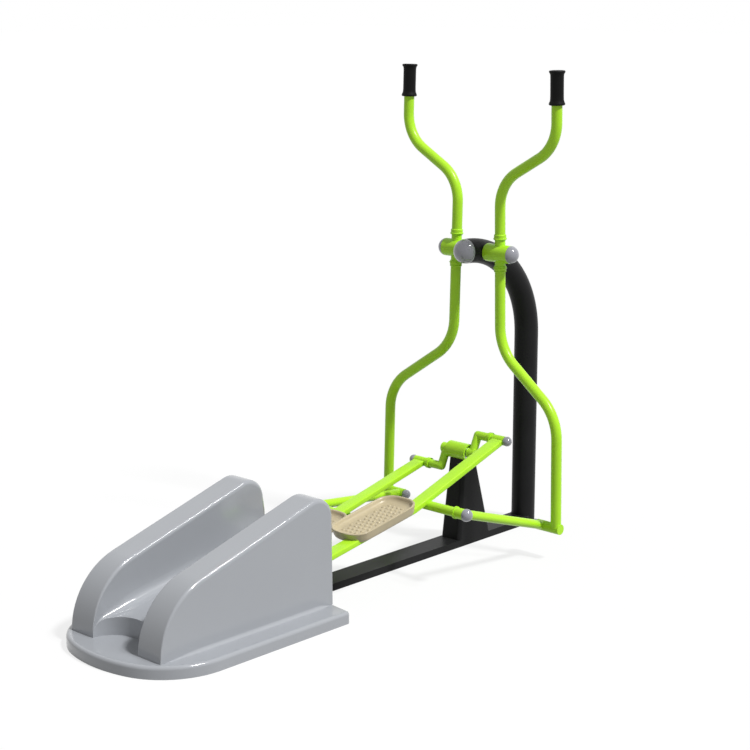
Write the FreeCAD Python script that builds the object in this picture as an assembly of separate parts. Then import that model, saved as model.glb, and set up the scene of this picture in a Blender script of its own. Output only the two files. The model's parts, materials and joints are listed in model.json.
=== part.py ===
import FreeCAD, Part
import math
import os

# Outdoor cross trainer. X runs forward from the step to the post, Y to the left, Z up, in millimetres.
# Sizes are measured from the post's axis; the finished pieces are moved so that the origin lies at
# the middle of the footprint, on the ground.

V = FreeCAD.Vector
UP = V(0, 0, 1)
ACROSS = V(0, 1, 0)

# Clearances
running_gap = 0.05
side_gap = 0.5
roll_gap = 0.3
tiny = 1e-4

# Ground beam and its cross members
beam_width = 90.0
beam_height = 26.0
beam_wall = 3.0
beam_cope_set_back = 12.0
beam_rear_margin = 44.0
cross_width = 40.0
cross_reach = 262.0
cross_front_at = 664.0
cross_middle_at = 284.0
cross_rear_at = 104.0

# Post, one bent pipe
post_od = 89.0
post_wall = 4.0
post_bend_radius = 347.0
post_top_z = 1083.0
post_end_run = 9.0
post_plug_head = 4.0
post_plug_spigot = 22.0
end_cap_edge = 1.5
end_cap_dome = 43.0

# Moulded base and step
base_side_margin = 87.0
base_thickness = 41.0
base_front_margin = 10.0
base_rear_margin = 84.0
base_rear_radius = 480.0
base_corner_radius = 235.0
base_front_corner = 14.0
base_edge_round = 13.0
ramp_start_z = 108.0
ramp_start_at = 116.0
ramp_slope_deg = 9.6
ramp_notch_side = 9.0
ramp_notch_depth = 92.0
ramp_wall = 8.0

# Guards, two hollow fins
guard_inner_y = 109.0
guard_width = 107.0
guard_wall = 6.0
guard_length = 732.0
guard_rear_room = 24.5
guard_crest_z = 434.0
guard_slope_deg = 16.5
guard_front_radius = 72.0
guard_rear_radius = 231.0
guard_edge_round = 15.0
slot_side_margin = 9.0
slot_margin = 16.0

# Rails and rollers inside the guards
rail_thickness = 5.0
rail_lip = 9.0
rail_lip_wall = 3.0
rail_side_gap = 1.0
rail_front_at = 344.0
rail_end_gap = 4.0
screw_radius = 5.0
screw_head_radius = 9.0
screw_head_height = 5.0
roller_radius = 40.0
roller_width = 16.0
roller_edge = 3.0
axle_radius = 8.0
axle_overhang = 2.0

# Crank
crank_x = -378.0
crank_z = 350.0
crank_radius = 70.0
crank_angle_deg = 65.0
bearing_tube_od = 62.0
bearing_tube_half = 45.0
bearing_od = 52.0
bearing_width = 14.0
crank_shaft_radius = 12.5
throw_y = 62.0
throw_radius = 15.5
throw_hub_radius = 19.0
collar_radius = 20.0
collar_width = 12.0
collar_set_in = 14.0
stand_base_length = 180.0
stand_base_lead = 38.0
stand_top_length = 72.0
stand_top_lead = 16.0
stand_saddle = 6.0
stand_top_width = 72.0
stand_corner = 16.0
stand_wall = 4.0

# Pedal bars
bar_width = 50.0
bar_height = 20.0
bar_wall = 2.5
bar_length = 1488.0
bend_at = 993.0
bend_drop = 49.0
bar_sleeve_radius = 16.5
bar_sleeve_half = 26.0
rear_sleeve_radius = 15.0
ball_radius = 17.5
ball_inset = 9.0
ball_spigot_radius = 9.0
cross_tube_radius = 16.5
cross_tube_wall = 3.0
cross_tube_at = 1060.0
cross_tube_sink = 7.0
cross_tube_plug = 14.0

# Pedals
pedal_length = 319.0
pedal_width = 162.0
pedal_height = 26.0
pedal_corner = 62.0
pedal_rim = 9.0
pedal_floor = 7.0
pedal_under_round = 13.0
pedal_rim_round = 3.5
pedal_lead = 11.0
pedal_inset = 34.0
stud_radius = 5.0
stud_height = 2.2
stud_pitch = 21.0
stud_rows = 5
stud_columns = 10
bolt_radius = 4.0
bolt_head_radius = 7.5
bolt_head_height = 4.0
bolt_spacing = 150.0
bolt_length = 22.0

# Handles
pivot_back = 288.0
pivot_tube_od = 60.0
pivot_tube_stand_off = 1.0
pivot_shaft_radius = 15.0
hub_radius = 32.0
hub_length = 106.0
hub_arm_offset = 4.0
hub_bush_radius = 19.0
hub_bush_length = 20.0
hub_cap_dome = 26.0
hub_cap_edge = 2.0
arm_radius = 19.0
arm_wall = 2.5
socket_radius = 22.0
socket_height = 16.0
upper_socket_z = 58.0
lower_socket_z = 53.0
grip_y = 353.0
upper_bend_z = 251.0
upper_turn_z = 393.0
upper_bend_radius = 145.0
grip_top_z = 654.0
lower_bend_z = 350.0
lower_turn_z = 549.0
lower_bend_radius = 165.0
foot_y = 385.0
foot_z = 962.0
foot_setback = 30.0
grip_length = 118.0
grip_radius = 24.0
grip_flange_radius = 29.0
grip_flange = 8.0
grip_top = 5.0

# Links
link_length = 478.0
link_y = 325.0
link_radius = 16.0
link_wall = 3.5
link_sleeve_radius = 19.0
link_sleeve_half = 22.0
link_nose_out = 18.0
link_collar_radius = 21.5
link_collar_width = 6.0
link_bush_radius = 14.0
foot_pin_overhang = 2.0
journal_radius = 10.0
link_ball_radius = 22.0
link_ball_out = 5.0
seam_turn_deg = 45.0


def box(x0, x1, y0, y1, z0, z1):
    return Part.makeBox(x1 - x0, y1 - y0, z1 - z0, V(x0, y0, z0))


def rod(start, end, radius):
    return Part.makeCylinder(radius, (end - start).Length, start, end - start)


def tube(start, end, outer, inner):
    return rod(start, end, outer).cut(rod(start, end, inner))


def cross_rod(x, y0, y1, z, radius):
    return rod(V(x, min(y0, y1), z), V(x, max(y0, y1), z), radius)


def cross_pipe(x, y0, y1, z, outer, inner):
    return cross_rod(x, y0, y1, z, outer).cut(cross_rod(x, y0, y1, z, inner))


def line(p, q):
    return Part.LineSegment(p, q).toShape()


def arc(p, through, q):
    return Part.Arc(p, through, q).toShape()


def button(base, direction, radius, edge, crown):
    """A round cap on the disc at base: a straight edge, then a spherical crown."""
    sphere_radius = (radius ** 2 + crown ** 2) / (2 * crown)
    half = math.asin(radius / sphere_radius) / 2
    centre_z = edge + crown - sphere_radius
    mid = V(sphere_radius * math.sin(half), 0, centre_z + sphere_radius * math.cos(half))
    outline = [
        line(V(0, 0, 0), V(radius, 0, 0)),
        line(V(radius, 0, 0), V(radius, 0, edge)),
        arc(V(radius, 0, edge), mid, V(0, 0, edge + crown)),
        line(V(0, 0, edge + crown), V(0, 0, 0)),
    ]
    cap = Part.Face(Part.Wire(outline)).revolve(V(0, 0, 0), UP, 360)
    cap.Placement = FreeCAD.Placement(base, FreeCAD.Rotation(UP, direction))
    return cap


def rounded_path(points, radius):
    """Straight runs through the points, with a tangent arc of one radius at each corner."""
    edges = []
    start = points[0]
    for before, corner, after in zip(points, points[1:], points[2:]):
        back = before - corner
        back.normalize()
        ahead = after - corner
        ahead.normalize()
        half = back.getAngle(ahead) / 2
        reach = radius / math.tan(half)
        inward = back + ahead
        inward.normalize()
        centre = corner + inward * (radius / math.sin(half))
        enter = corner + back * reach
        leave = corner + ahead * reach
        edges.append(line(start, enter))
        edges.append(arc(enter, centre - inward * radius, leave))
        start = leave
    edges.append(line(start, points[-1]))
    return Part.Wire(edges)


def swept(points, bend, radius):
    heading = points[1] - points[0]
    ring = Part.Wire([Part.Circle(points[0], heading, radius).toShape()])
    return rounded_path(points, bend).makePipeShell([ring], True, False)


def bent_tube(points, bend, outer, inner):
    return swept(points, bend, outer).cut(swept(points, bend, inner))


def prism(edges, direction):
    return Part.Face(Part.Wire(edges)).extrude(direction)


def rounded_rectangle(x0, x1, y0, y1, z, corner):
    """Edges of a level rectangle with round corners, anticlockwise."""
    slant = corner * (1 - math.sqrt(0.5))
    return [
        line(V(x0 + corner, y0, z), V(x1 - corner, y0, z)),
        arc(V(x1 - corner, y0, z), V(x1 - slant, y0 + slant, z), V(x1, y0 + corner, z)),
        line(V(x1, y0 + corner, z), V(x1, y1 - corner, z)),
        arc(V(x1, y1 - corner, z), V(x1 - slant, y1 - slant, z), V(x1 - corner, y1, z)),
        line(V(x1 - corner, y1, z), V(x0 + corner, y1, z)),
        arc(V(x0 + corner, y1, z), V(x0 + slant, y1 - slant, z), V(x0, y1 - corner, z)),
        line(V(x0, y1 - corner, z), V(x0, y0 + corner, z)),
        arc(V(x0, y0 + corner, z), V(x0 + slant, y0 + slant, z), V(x0 + corner, y0, z)),
    ]


def edges_at_height(shape, z):
    return [e for e in shape.Edges if all(abs(v.Z - z) < tiny for v in e.Vertexes)]


# Places worked out from the sizes

bar_y = guard_inner_y + guard_width / 2
bar_gap_y = bar_y - bar_sleeve_half - side_gap
collar_y = bar_gap_y - collar_set_in
rail_half_width = guard_width / 2 - guard_wall - rail_side_gap
slot_half_width = bar_width / 2 + slot_side_margin
post_reach = post_bend_radius + post_end_run
pivot_tube_half = post_od / 2 + pivot_tube_stand_off
hub_near_y = pivot_tube_half + side_gap
hub_far_y = hub_near_y + hub_length
hub_y = (hub_near_y + hub_far_y) / 2 + hub_arm_offset
axle_z = base_thickness + rail_thickness + roll_gap + roller_radius
pivot = V(-pivot_back, 0, post_top_z - post_bend_radius
          + math.sqrt(post_bend_radius ** 2 - (post_bend_radius - pivot_back) ** 2))


def crank_pin(degrees):
    turn = math.radians(degrees)
    return V(crank_x + crank_radius * math.cos(turn), 0, crank_z + crank_radius * math.sin(turn))


def axle_behind(pin):
    """The rear axle of a bar whose front end is at the pin."""
    rise = pin.z - axle_z
    return V(pin.x - math.sqrt(bar_length ** 2 - rise ** 2), 0, axle_z)


def bar_pitch(pin):
    return math.degrees(math.asin((pin.z - axle_z) / bar_length))


def swing_to_reach(joint):
    """Forward lean of a handle whose foot holds a link of the set length from the joint."""
    foot_reach = math.hypot(foot_z, foot_setback)
    offset = joint - pivot
    span = math.hypot(offset.x, offset.z)
    opening = math.acos((foot_reach ** 2 + span ** 2 - link_length ** 2) / (2 * foot_reach * span))
    bearing = math.atan2(-offset.x, -offset.z) - opening
    return math.degrees(bearing - math.atan2(foot_setback, foot_z))


def turned(shape, centre, degrees):
    """A copy turned about the crosswise axis, nose up for positive angles."""
    copy = shape.copy()
    copy.rotate(centre, ACROSS, -degrees)
    return copy


def turned_point(point, degrees):
    return FreeCAD.Rotation(ACROSS, -degrees).multVec(point)


crank_centre = V(crank_x, 0, crank_z)
bar_bend = V(bend_at, 0, -bend_drop)
bar_tip = V(bar_length, 0, 0)
front_run = bar_tip - bar_bend
front_run_deg = math.degrees(math.atan2(front_run.z, front_run.x))
rear_run_deg = math.degrees(math.atan2(bar_bend.z, bar_bend.x))
rear_run_length = bar_bend.Length
cross_tube_drop = bar_height / 2 + cross_tube_radius - cross_tube_sink
cross_tube_place = (bar_bend + front_run * ((cross_tube_at - bend_at) / front_run.x)
                    + turned_point(V(0, 0, -cross_tube_drop), front_run_deg))

full_turn = range(0, 360, 5)
axle_ahead_x = max(axle_behind(crank_pin(d)).x for d in full_turn)
axle_back_x = min(axle_behind(crank_pin(d)).x for d in full_turn)
pitch_high = max(bar_pitch(crank_pin(d)) for d in full_turn)
pitch_low = min(bar_pitch(crank_pin(d)) for d in full_turn)

# The housing keeps room for the rollers behind the bars' rearmost axle
guard_rear_x = axle_back_x - roller_radius - guard_wall - guard_rear_room
guard_front_x = guard_rear_x + guard_length
base_front_x = guard_front_x - base_front_margin
base_rear_x = guard_rear_x - base_rear_margin
base_half_width = guard_inner_y + guard_width + base_side_margin
beam_rear_x = guard_rear_x + beam_rear_margin
cross_front_x = guard_rear_x + cross_front_at
cross_middle_x = guard_rear_x + cross_middle_at
cross_rear_x = guard_rear_x + cross_rear_at
ramp_start_x = guard_rear_x + ramp_start_at
ramp_notch_radius = guard_inner_y - ramp_notch_side
rail_front_x = guard_rear_x + rail_front_at
shift = V(-(post_od / 2 + base_rear_x) / 2, 0, 0)


class Side:
    """Where one side's moving pieces are at rest; sign is 1 on the left and -1 on the right."""

    def __init__(self, name, sign, pin_deg):
        self.name = name
        self.sign = sign
        self.pin_deg = pin_deg
        self.pin = crank_pin(pin_deg)
        self.axle = axle_behind(self.pin)
        self.pitch = bar_pitch(self.pin)
        self.joint = self.axle + turned_point(cross_tube_place, self.pitch)
        self.swing = swing_to_reach(self.joint)
        self.foot = pivot + turned_point(V(-foot_setback, 0, -foot_z), -self.swing)
        reach = self.foot - self.joint
        self.link_deg = math.degrees(math.atan2(reach.z, reach.x))

    def on_bar(self, shape):
        """Takes a shape from the bar's own frame, X from axle to tip, to its place at rest."""
        placed = turned(shape, V(0, 0, 0), self.pitch)
        placed.translate(self.axle)
        return placed

    def on_link(self, shape):
        """Takes a shape from the link's own frame, X from the bar's joint to the foot, to its place at rest."""
        placed = turned(shape, V(0, 0, 0), self.link_deg)
        placed.translate(self.joint)
        return placed

    def on_handle(self, shape):
        """Takes a shape from the handle's own frame, Z up from the pivot, to its place at rest."""
        placed = turned(shape, V(0, 0, 0), -self.swing)
        placed.translate(pivot)
        return placed


left = Side("left", 1, crank_angle_deg + 180)
right = Side("right", -1, crank_angle_deg)
sides = (left, right)


# Ground frame

def base_beam():
    """A flat box tube that butts against the post."""
    front = -beam_cope_set_back
    outer = box(beam_rear_x, front, -beam_width / 2, beam_width / 2, 0, beam_height)
    inner = box(beam_rear_x, front, beam_wall - beam_width / 2, beam_width / 2 - beam_wall, beam_wall,
                beam_height - beam_wall)
    return outer.cut(inner).cut(rod(V(0, 0, 0), V(0, 0, beam_height), post_od / 2))


def cross_members():
    stubs = []
    for x in (cross_front_x, cross_middle_x, cross_rear_x):
        for side in sides:
            near = side.sign * beam_width / 2
            far = side.sign * cross_reach
            low, high = min(near, far), max(near, far)
            half = cross_width / 2
            outer = box(x - half, x + half, low, high, 0, beam_height)
            inner = box(x - half + beam_wall, x + half - beam_wall, low, high, beam_wall, beam_height - beam_wall)
            stubs.append(outer.cut(inner))
    return Part.makeCompound(stubs)


def post():
    path = [V(0, 0, post_plug_head), V(0, 0, post_top_z), V(-post_reach, 0, post_top_z)]
    pipe = bent_tube(path, post_bend_radius, post_od / 2, post_od / 2 - post_wall)
    return pipe.cut(cross_rod(pivot.x, -pivot_tube_half, pivot_tube_half, pivot.z, pivot_tube_od / 2))


def post_plug():
    """Closes the post's foot."""
    top = V(0, 0, post_plug_head)
    spigot = rod(top, top + UP * post_plug_spigot, post_od / 2 - post_wall - running_gap)
    return rod(V(0, 0, 0), top, post_od / 2).fuse(spigot)


def post_end_cap():
    end = V(-post_reach, 0, post_top_z)
    rear = V(-1, 0, 0)
    head = button(end, rear, post_od / 2, end_cap_edge, end_cap_dome)
    spigot = rod(end - rear * (post_end_run - side_gap), end, post_od / 2 - post_wall - running_gap)
    keep_clear = cross_rod(pivot.x, -post_od, post_od, pivot.z, pivot_tube_od / 2 + side_gap)
    return head.fuse(spigot.cut(keep_clear))


def pivot_tube():
    bore = pivot_shaft_radius + running_gap
    return cross_pipe(pivot.x, -pivot_tube_half, pivot_tube_half, pivot.z, pivot_tube_od / 2, bore)


def pivot_shaft():
    half = hub_far_y - side_gap
    return cross_rod(pivot.x, -half, half, pivot.z, pivot_shaft_radius)


# Moulded base, step and guards

def base_outline():
    """The base's edge: square front, straight sides, convex rear with wide round corners."""
    rear_centre_x = base_rear_x + base_rear_radius
    corner_y = base_half_width - base_corner_radius
    corner_reach = base_rear_radius - base_corner_radius
    corner_x = rear_centre_x - math.sqrt(corner_reach ** 2 - corner_y ** 2)
    lean = math.atan2(corner_y, rear_centre_x - corner_x)
    touch = V(rear_centre_x - base_rear_radius * math.cos(lean), base_rear_radius * math.sin(lean), 0)
    mid_lean = (lean + math.pi / 2) / 2
    mid = V(corner_x - base_corner_radius * math.cos(mid_lean),
            corner_y + base_corner_radius * math.sin(mid_lean), 0)
    slant = base_front_corner * (1 - math.sqrt(0.5))
    front_y = base_half_width - base_front_corner
    side_x = base_front_x - base_front_corner

    def flip(p):
        return V(p.x, -p.y, p.z)

    side_front = V(side_x, base_half_width, 0)
    side_rear = V(corner_x, base_half_width, 0)
    front_mid = V(base_front_x - slant, base_half_width - slant, 0)
    front = V(base_front_x, front_y, 0)
    return [
        line(flip(front), front),
        arc(front, front_mid, side_front),
        line(side_front, side_rear),
        arc(side_rear, mid, touch),
        arc(touch, V(base_rear_x, 0, 0), flip(touch)),
        arc(flip(touch), flip(mid), flip(side_rear)),
        line(flip(side_rear), flip(side_front)),
        arc(flip(side_front), flip(front_mid), flip(front)),
    ]


def base_plate():
    plate = prism(base_outline(), V(0, 0, base_thickness))
    plate = plate.makeFillet(base_edge_round, edges_at_height(plate, base_thickness))
    plate = plate.cut(box(beam_rear_x, base_front_x, -beam_width / 2, beam_width / 2, 0, beam_height))
    for x in (cross_front_x, cross_middle_x, cross_rear_x):
        half = cross_width / 2
        plate = plate.cut(box(x - half, x + half, -cross_reach, cross_reach, 0, beam_height))
    for x, y in rail_screw_places():
        plate = plate.cut(rod(V(x, y, beam_height), V(x, y, base_thickness), screw_radius))
    return plate


def ramp_height(x):
    return ramp_start_z + (x - ramp_start_x) * math.tan(math.radians(ramp_slope_deg))


def ramp_profile(rear_x, front_x, floor_z, drop):
    """Side view of the step: a round nose at the rear, then a straight slope up to the front."""
    slope = math.radians(ramp_slope_deg)
    rear_rise = ramp_height(rear_x) - drop / math.cos(slope) - floor_z
    nose = rear_rise * math.cos(slope) / (1 - math.sin(slope))
    centre_x = rear_x + nose
    leave = V(centre_x - nose * math.sin(slope), 0, floor_z + nose * math.cos(slope))
    half = (math.pi / 2 - slope) / 2
    mid = V(centre_x - nose * math.cos(half), 0, floor_z + nose * math.sin(half))
    front = V(front_x, 0, ramp_height(front_x) - drop / math.cos(slope))
    return [
        line(V(front_x, 0, floor_z), V(rear_x, 0, floor_z)),
        arc(V(rear_x, 0, floor_z), mid, leave),
        line(leave, front),
        line(front, V(front_x, 0, floor_z)),
    ]


def step_ramp():
    width = V(0, 2 * guard_inner_y, 0)
    block = prism(ramp_profile(guard_rear_x, guard_front_x, base_thickness, 0), width)
    block.translate(V(0, -guard_inner_y, 0))
    notch_centre = guard_rear_x + ramp_notch_depth - ramp_notch_radius
    height = ramp_height(guard_front_x)
    notch = rod(V(notch_centre, 0, 0), V(notch_centre, 0, height), ramp_notch_radius)
    mouth = box(guard_rear_x - ramp_notch_radius, notch_centre, -ramp_notch_radius, ramp_notch_radius, 0, height)
    block = block.cut(notch.fuse(mouth))
    hollow_rear = guard_rear_x + ramp_notch_depth + ramp_wall
    hollow = prism(ramp_profile(hollow_rear, guard_front_x - ramp_wall, base_thickness, ramp_wall),
                   V(0, 2 * (guard_inner_y - ramp_wall), 0))
    hollow.translate(V(0, ramp_wall - guard_inner_y, 0))
    return block.cut(hollow)


def guard_profile(inset):
    """Side view of a guard, drawn in by the inset on all sides but the floor."""
    slope = math.radians(guard_slope_deg)
    front_x = guard_front_x - inset
    rear_x = guard_rear_x + inset
    nose = guard_front_radius - inset
    back = guard_rear_radius - inset

    def crest(x):
        return guard_crest_z - (guard_front_x - x) * math.tan(slope) - inset / math.cos(slope)

    nose_x = front_x - nose
    nose_z = crest(nose_x) - nose / math.cos(slope)
    back_x = rear_x + back
    back_z = crest(back_x) - back / math.cos(slope)
    nose_half = (math.pi / 2 + slope) / 2
    back_half = (math.pi / 2 - slope) / 2
    nose_mid = V(nose_x + nose * math.cos(nose_half), 0, nose_z + nose * math.sin(nose_half))
    back_mid = V(back_x - back * math.cos(back_half), 0, back_z + back * math.sin(back_half))
    nose_top = V(nose_x - nose * math.sin(slope), 0, nose_z + nose * math.cos(slope))
    back_top = V(back_x - back * math.sin(slope), 0, back_z + back * math.cos(slope))
    return [
        line(V(rear_x, 0, base_thickness), V(front_x, 0, base_thickness)),
        line(V(front_x, 0, base_thickness), V(front_x, 0, nose_z)),
        arc(V(front_x, 0, nose_z), nose_mid, nose_top),
        line(nose_top, back_top),
        arc(back_top, back_mid, V(rear_x, 0, back_z)),
        line(V(rear_x, 0, back_z), V(rear_x, 0, base_thickness)),
    ]


def bar_height_at_guard(axle_x, pitch):
    rise = math.tan(math.radians(pitch + rear_run_deg))
    return axle_z + (guard_front_x - axle_x) * rise


def guard(side):
    outer = prism(guard_profile(0), V(0, guard_width, 0))
    above = [e for e in outer.Edges if e.BoundBox.ZMax > base_thickness + tiny]
    rims = [e for e in above if e.BoundBox.YLength < tiny]
    outer = outer.makeFillet(guard_edge_round, rims)
    hollow = prism(guard_profile(guard_wall), V(0, guard_width - 2 * guard_wall, 0))
    hollow.translate(V(0, guard_wall, 0))
    shell = outer.cut(hollow)
    half_bar = bar_height / 2
    low = bar_height_at_guard(axle_ahead_x, pitch_low) - half_bar - slot_margin
    high = bar_height_at_guard(axle_back_x, pitch_high) + half_bar + slot_margin
    middle = bar_y - guard_inner_y
    slot = box(guard_front_x - 2 * guard_wall, guard_front_x + guard_wall, middle - slot_half_width,
               middle + slot_half_width, low, high)
    shell = shell.cut(slot)
    if side.sign < 0:
        shell = shell.mirror(V(0, 0, 0), ACROSS)
    shell.translate(V(0, side.sign * guard_inner_y, 0))
    return shell


# Rails, rollers and rear axles

def rail_screw_places():
    return [(x, side.sign * bar_y) for side in sides for x in (cross_middle_x, cross_rear_x)]


def rail(side):
    y = side.sign * bar_y
    rear = guard_rear_x + guard_wall + rail_end_gap
    top = base_thickness + rail_thickness
    floor = box(rear, rail_front_x, y - rail_half_width, y + rail_half_width, base_thickness, top)
    for edge in (-1, 1):
        outer = y + edge * rail_half_width
        inner = outer - edge * rail_lip_wall
        floor = floor.fuse(box(rear, rail_front_x, min(outer, inner), max(outer, inner), base_thickness,
                               top + rail_lip))
    floor = floor.removeSplitter()
    for x, screw_y in rail_screw_places():
        floor = floor.cut(rod(V(x, screw_y, base_thickness), V(x, screw_y, top), screw_radius))
    return floor


def rail_screws():
    screws = []
    top = base_thickness + rail_thickness
    for x, y in rail_screw_places():
        shank = rod(V(x, y, beam_height), V(x, y, top), screw_radius)
        head = rod(V(x, y, top), V(x, y, top + screw_head_height), screw_head_radius)
        screws.append(shank.fuse(head).removeSplitter())
    return Part.makeCompound(screws)


def rear_axle(side):
    half = bar_width / 2 + side_gap + roller_width + axle_overhang
    y = side.sign * bar_y
    return cross_rod(side.axle.x, y - half, y + half, axle_z, axle_radius)


def rollers(side):
    pair = []
    for edge in (-1, 1):
        inner = side.sign * bar_y + edge * (bar_width / 2 + side_gap)
        outer = inner + edge * roller_width
        wheel = cross_rod(side.axle.x, inner, outer, axle_z, roller_radius)
        wheel = wheel.makeFillet(roller_edge, [e for e in wheel.Edges if e.BoundBox.YLength < tiny])
        pair.append(wheel.cut(cross_rod(side.axle.x, inner, outer, axle_z, axle_radius + running_gap)))
    return Part.makeCompound(pair)


# Crank

def crank_stand():
    top_z = crank_z - bearing_tube_od / 2 + stand_saddle

    def ring(x, length, width, z, corner):
        return Part.Wire(rounded_rectangle(x - length / 2, x + length / 2, -width / 2, width / 2, z, corner))

    def taper(inset):
        low = ring(crank_x + stand_base_lead, stand_base_length - 2 * inset, beam_width - 2 * inset, beam_height,
                   stand_corner - inset)
        high = ring(crank_x + stand_top_lead, stand_top_length - 2 * inset, stand_top_width - 2 * inset, top_z,
                    stand_corner - inset)
        return Part.makeLoft([low, high], True, True)

    shell = taper(0).cut(taper(stand_wall))
    return shell.cut(cross_rod(crank_x, -beam_width, beam_width, crank_z, bearing_tube_od / 2))


def crank_bearing_tube():
    return cross_pipe(crank_x, -bearing_tube_half, bearing_tube_half, crank_z, bearing_tube_od / 2, bearing_od / 2)


def crank_bearings():
    rings = []
    for side in sides:
        outer = side.sign * bearing_tube_half
        inner = side.sign * (bearing_tube_half - bearing_width)
        rings.append(cross_pipe(crank_x, inner, outer, crank_z, bearing_od / 2, crank_shaft_radius + running_gap))
    return Part.makeCompound(rings)


def crank_shaft():
    half = throw_y + throw_radius
    return cross_rod(crank_x, -half, half, crank_z, crank_shaft_radius)


def crank_throw(side):
    """An arm with its pin and the pin's collar, welded to the shaft's end."""
    arm_y = side.sign * throw_y
    inner = side.sign * (bearing_tube_half + side_gap)
    outer = side.sign * (throw_y + throw_radius)
    root = V(crank_x, arm_y, crank_z)
    corner = V(side.pin.x, arm_y, side.pin.z)
    pin_end = side.sign * bar_gap_y
    collar_near = side.sign * (collar_y - collar_width / 2)
    collar_far = side.sign * (collar_y + collar_width / 2)
    throw = rod(root, corner, throw_radius)
    throw = throw.fuse(cross_rod(crank_x, inner, outer, crank_z, throw_hub_radius))
    throw = throw.fuse(Part.makeSphere(throw_radius, corner))
    throw = throw.fuse(cross_rod(side.pin.x, arm_y, pin_end, side.pin.z, throw_radius))
    throw = throw.fuse(cross_rod(side.pin.x, collar_near, collar_far, side.pin.z, collar_radius))
    return throw.cut(cross_rod(crank_x, inner, outer, crank_z, crank_shaft_radius))


# Pedal bars, drawn in the bar's own frame: X from the rear axle to the front tip

def bar_strip(half, width):
    """The bent bar as a strip of one thickness, mitred at the bend."""
    normal = []
    for degrees in (rear_run_deg, (rear_run_deg + front_run_deg) / 2, front_run_deg):
        turn = math.radians(degrees)
        normal.append(V(-math.sin(turn), 0, math.cos(turn)))
    stretch = half / math.cos(math.radians((front_run_deg - rear_run_deg) / 2))
    spine = [V(0, 0, 0), bar_bend, bar_tip]
    reach = [half, stretch, half]
    top = [p + n * r for p, n, r in zip(spine, normal, reach)]
    bottom = [p - n * r for p, n, r in zip(spine, normal, reach)]
    loop = top + bottom[::-1]
    strip = Part.Face(Part.makePolygon(loop + loop[:1])).extrude(V(0, width, 0))
    strip.translate(V(0, -width / 2, 0))
    return strip


def bar(side):
    half = bar_width / 2
    outer = bar_strip(bar_height / 2, bar_width).fuse(cross_rod(0, -half, half, 0, rear_sleeve_radius))
    inner = bar_strip(bar_height / 2 - bar_wall, bar_width - 2 * bar_wall)
    inner = inner.cut(cross_rod(0, -half, half, 0, rear_sleeve_radius))
    tip_clear = cross_rod(bar_tip.x, -bar_width, bar_width, 0, bar_sleeve_radius)
    body = outer.cut(inner).cut(tip_clear)
    body = body.cut(cross_rod(0, -half, half, 0, axle_radius + running_gap))
    for place in bolt_places():
        body = body.cut(on_rear_run(rod(V(place, 0, 0), V(place, 0, bar_height), bolt_radius)))
    body.translate(V(0, side.sign * bar_y, 0))
    return side.on_bar(body)


def on_rear_run(shape):
    return turned(shape, V(0, 0, 0), rear_run_deg)


def bar_front_sleeve(side):
    inner = side.sign * (bar_y - bar_sleeve_half)
    outer = side.sign * (bar_y + bar_sleeve_half)
    return side.on_bar(cross_pipe(bar_tip.x, inner, outer, 0, bar_sleeve_radius, ball_spigot_radius))


def pin_ball(side):
    outer = side.sign * (bar_y + bar_sleeve_half)
    inner = side.sign * (bar_y - bar_sleeve_half)
    centre = V(bar_tip.x, outer + side.sign * ball_inset, 0)
    ball = Part.makeSphere(ball_radius, centre)
    ball = ball.cut(cross_rod(bar_tip.x, inner, outer, 0, 2 * ball_radius))
    spigot = cross_rod(bar_tip.x, inner, outer, 0, ball_spigot_radius)
    return side.on_bar(ball.fuse(spigot))


def cross_tube(side):
    """A tube under the bar, closed at its far end, with the journal that the link turns on."""
    start = side.sign * (bar_y - bar_width / 2)
    shoulder = side.sign * (link_y - link_sleeve_half - side_gap)
    plug = shoulder - side.sign * cross_tube_plug
    end = side.sign * (link_y + link_sleeve_half - side_gap)
    x = cross_tube_place.x
    z = cross_tube_place.z
    strip = bar_strip(bar_height / 2, bar_width)
    strip.translate(V(0, side.sign * bar_y, 0))
    body = cross_rod(x, start, shoulder, z, cross_tube_radius)
    body = body.cut(cross_rod(x, start, plug, z, cross_tube_radius - cross_tube_wall))
    body = body.cut(strip)
    return side.on_bar(body.fuse(cross_rod(x, shoulder, end, z, journal_radius)))


# Pedals, drawn along the bar's rear run

def pedal_front():
    return rear_run_length + pedal_lead


def bolt_places():
    middle = pedal_front() - pedal_length / 2
    return [middle - bolt_spacing / 2, middle + bolt_spacing / 2]


def pedal(side):
    front = pedal_front()
    half = pedal_width / 2
    low = bar_height / 2
    top = low + pedal_height
    outline = rounded_rectangle(front - pedal_length, front, -half, half, low, pedal_corner)
    tray = prism(outline, V(0, 0, pedal_height))
    tray = tray.makeFillet(pedal_under_round, edges_at_height(tray, low))
    inner = half - pedal_rim
    pocket = prism(rounded_rectangle(front - pedal_length + pedal_rim, front - pedal_rim, -inner, inner,
                                     low + pedal_floor, pedal_corner - pedal_rim), V(0, 0, pedal_height))
    tray = tray.cut(pocket)
    tray = tray.makeFillet(pedal_rim_round, edges_at_height(tray, top))
    floor = low + pedal_floor
    middle = front - pedal_length / 2
    bolt_y = side.sign * pedal_inset
    studs = []
    for column in range(stud_columns):
        for row in range(stud_rows):
            x = middle + (column - (stud_columns - 1) / 2) * stud_pitch
            y = (row - (stud_rows - 1) / 2) * stud_pitch
            clear = min(math.hypot(x - place, y - bolt_y) for place in bolt_places())
            if clear > stud_radius + bolt_head_radius:
                studs.append(rod(V(x, y, floor), V(x, y, floor + stud_height), stud_radius))
    tray = tray.multiFuse(studs)
    for place in bolt_places():
        tray = tray.cut(rod(V(place, bolt_y, low), V(place, bolt_y, floor), bolt_radius))
    tray.translate(V(0, side.sign * bar_y - bolt_y, 0))
    return side.on_bar(on_rear_run(tray))


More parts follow.
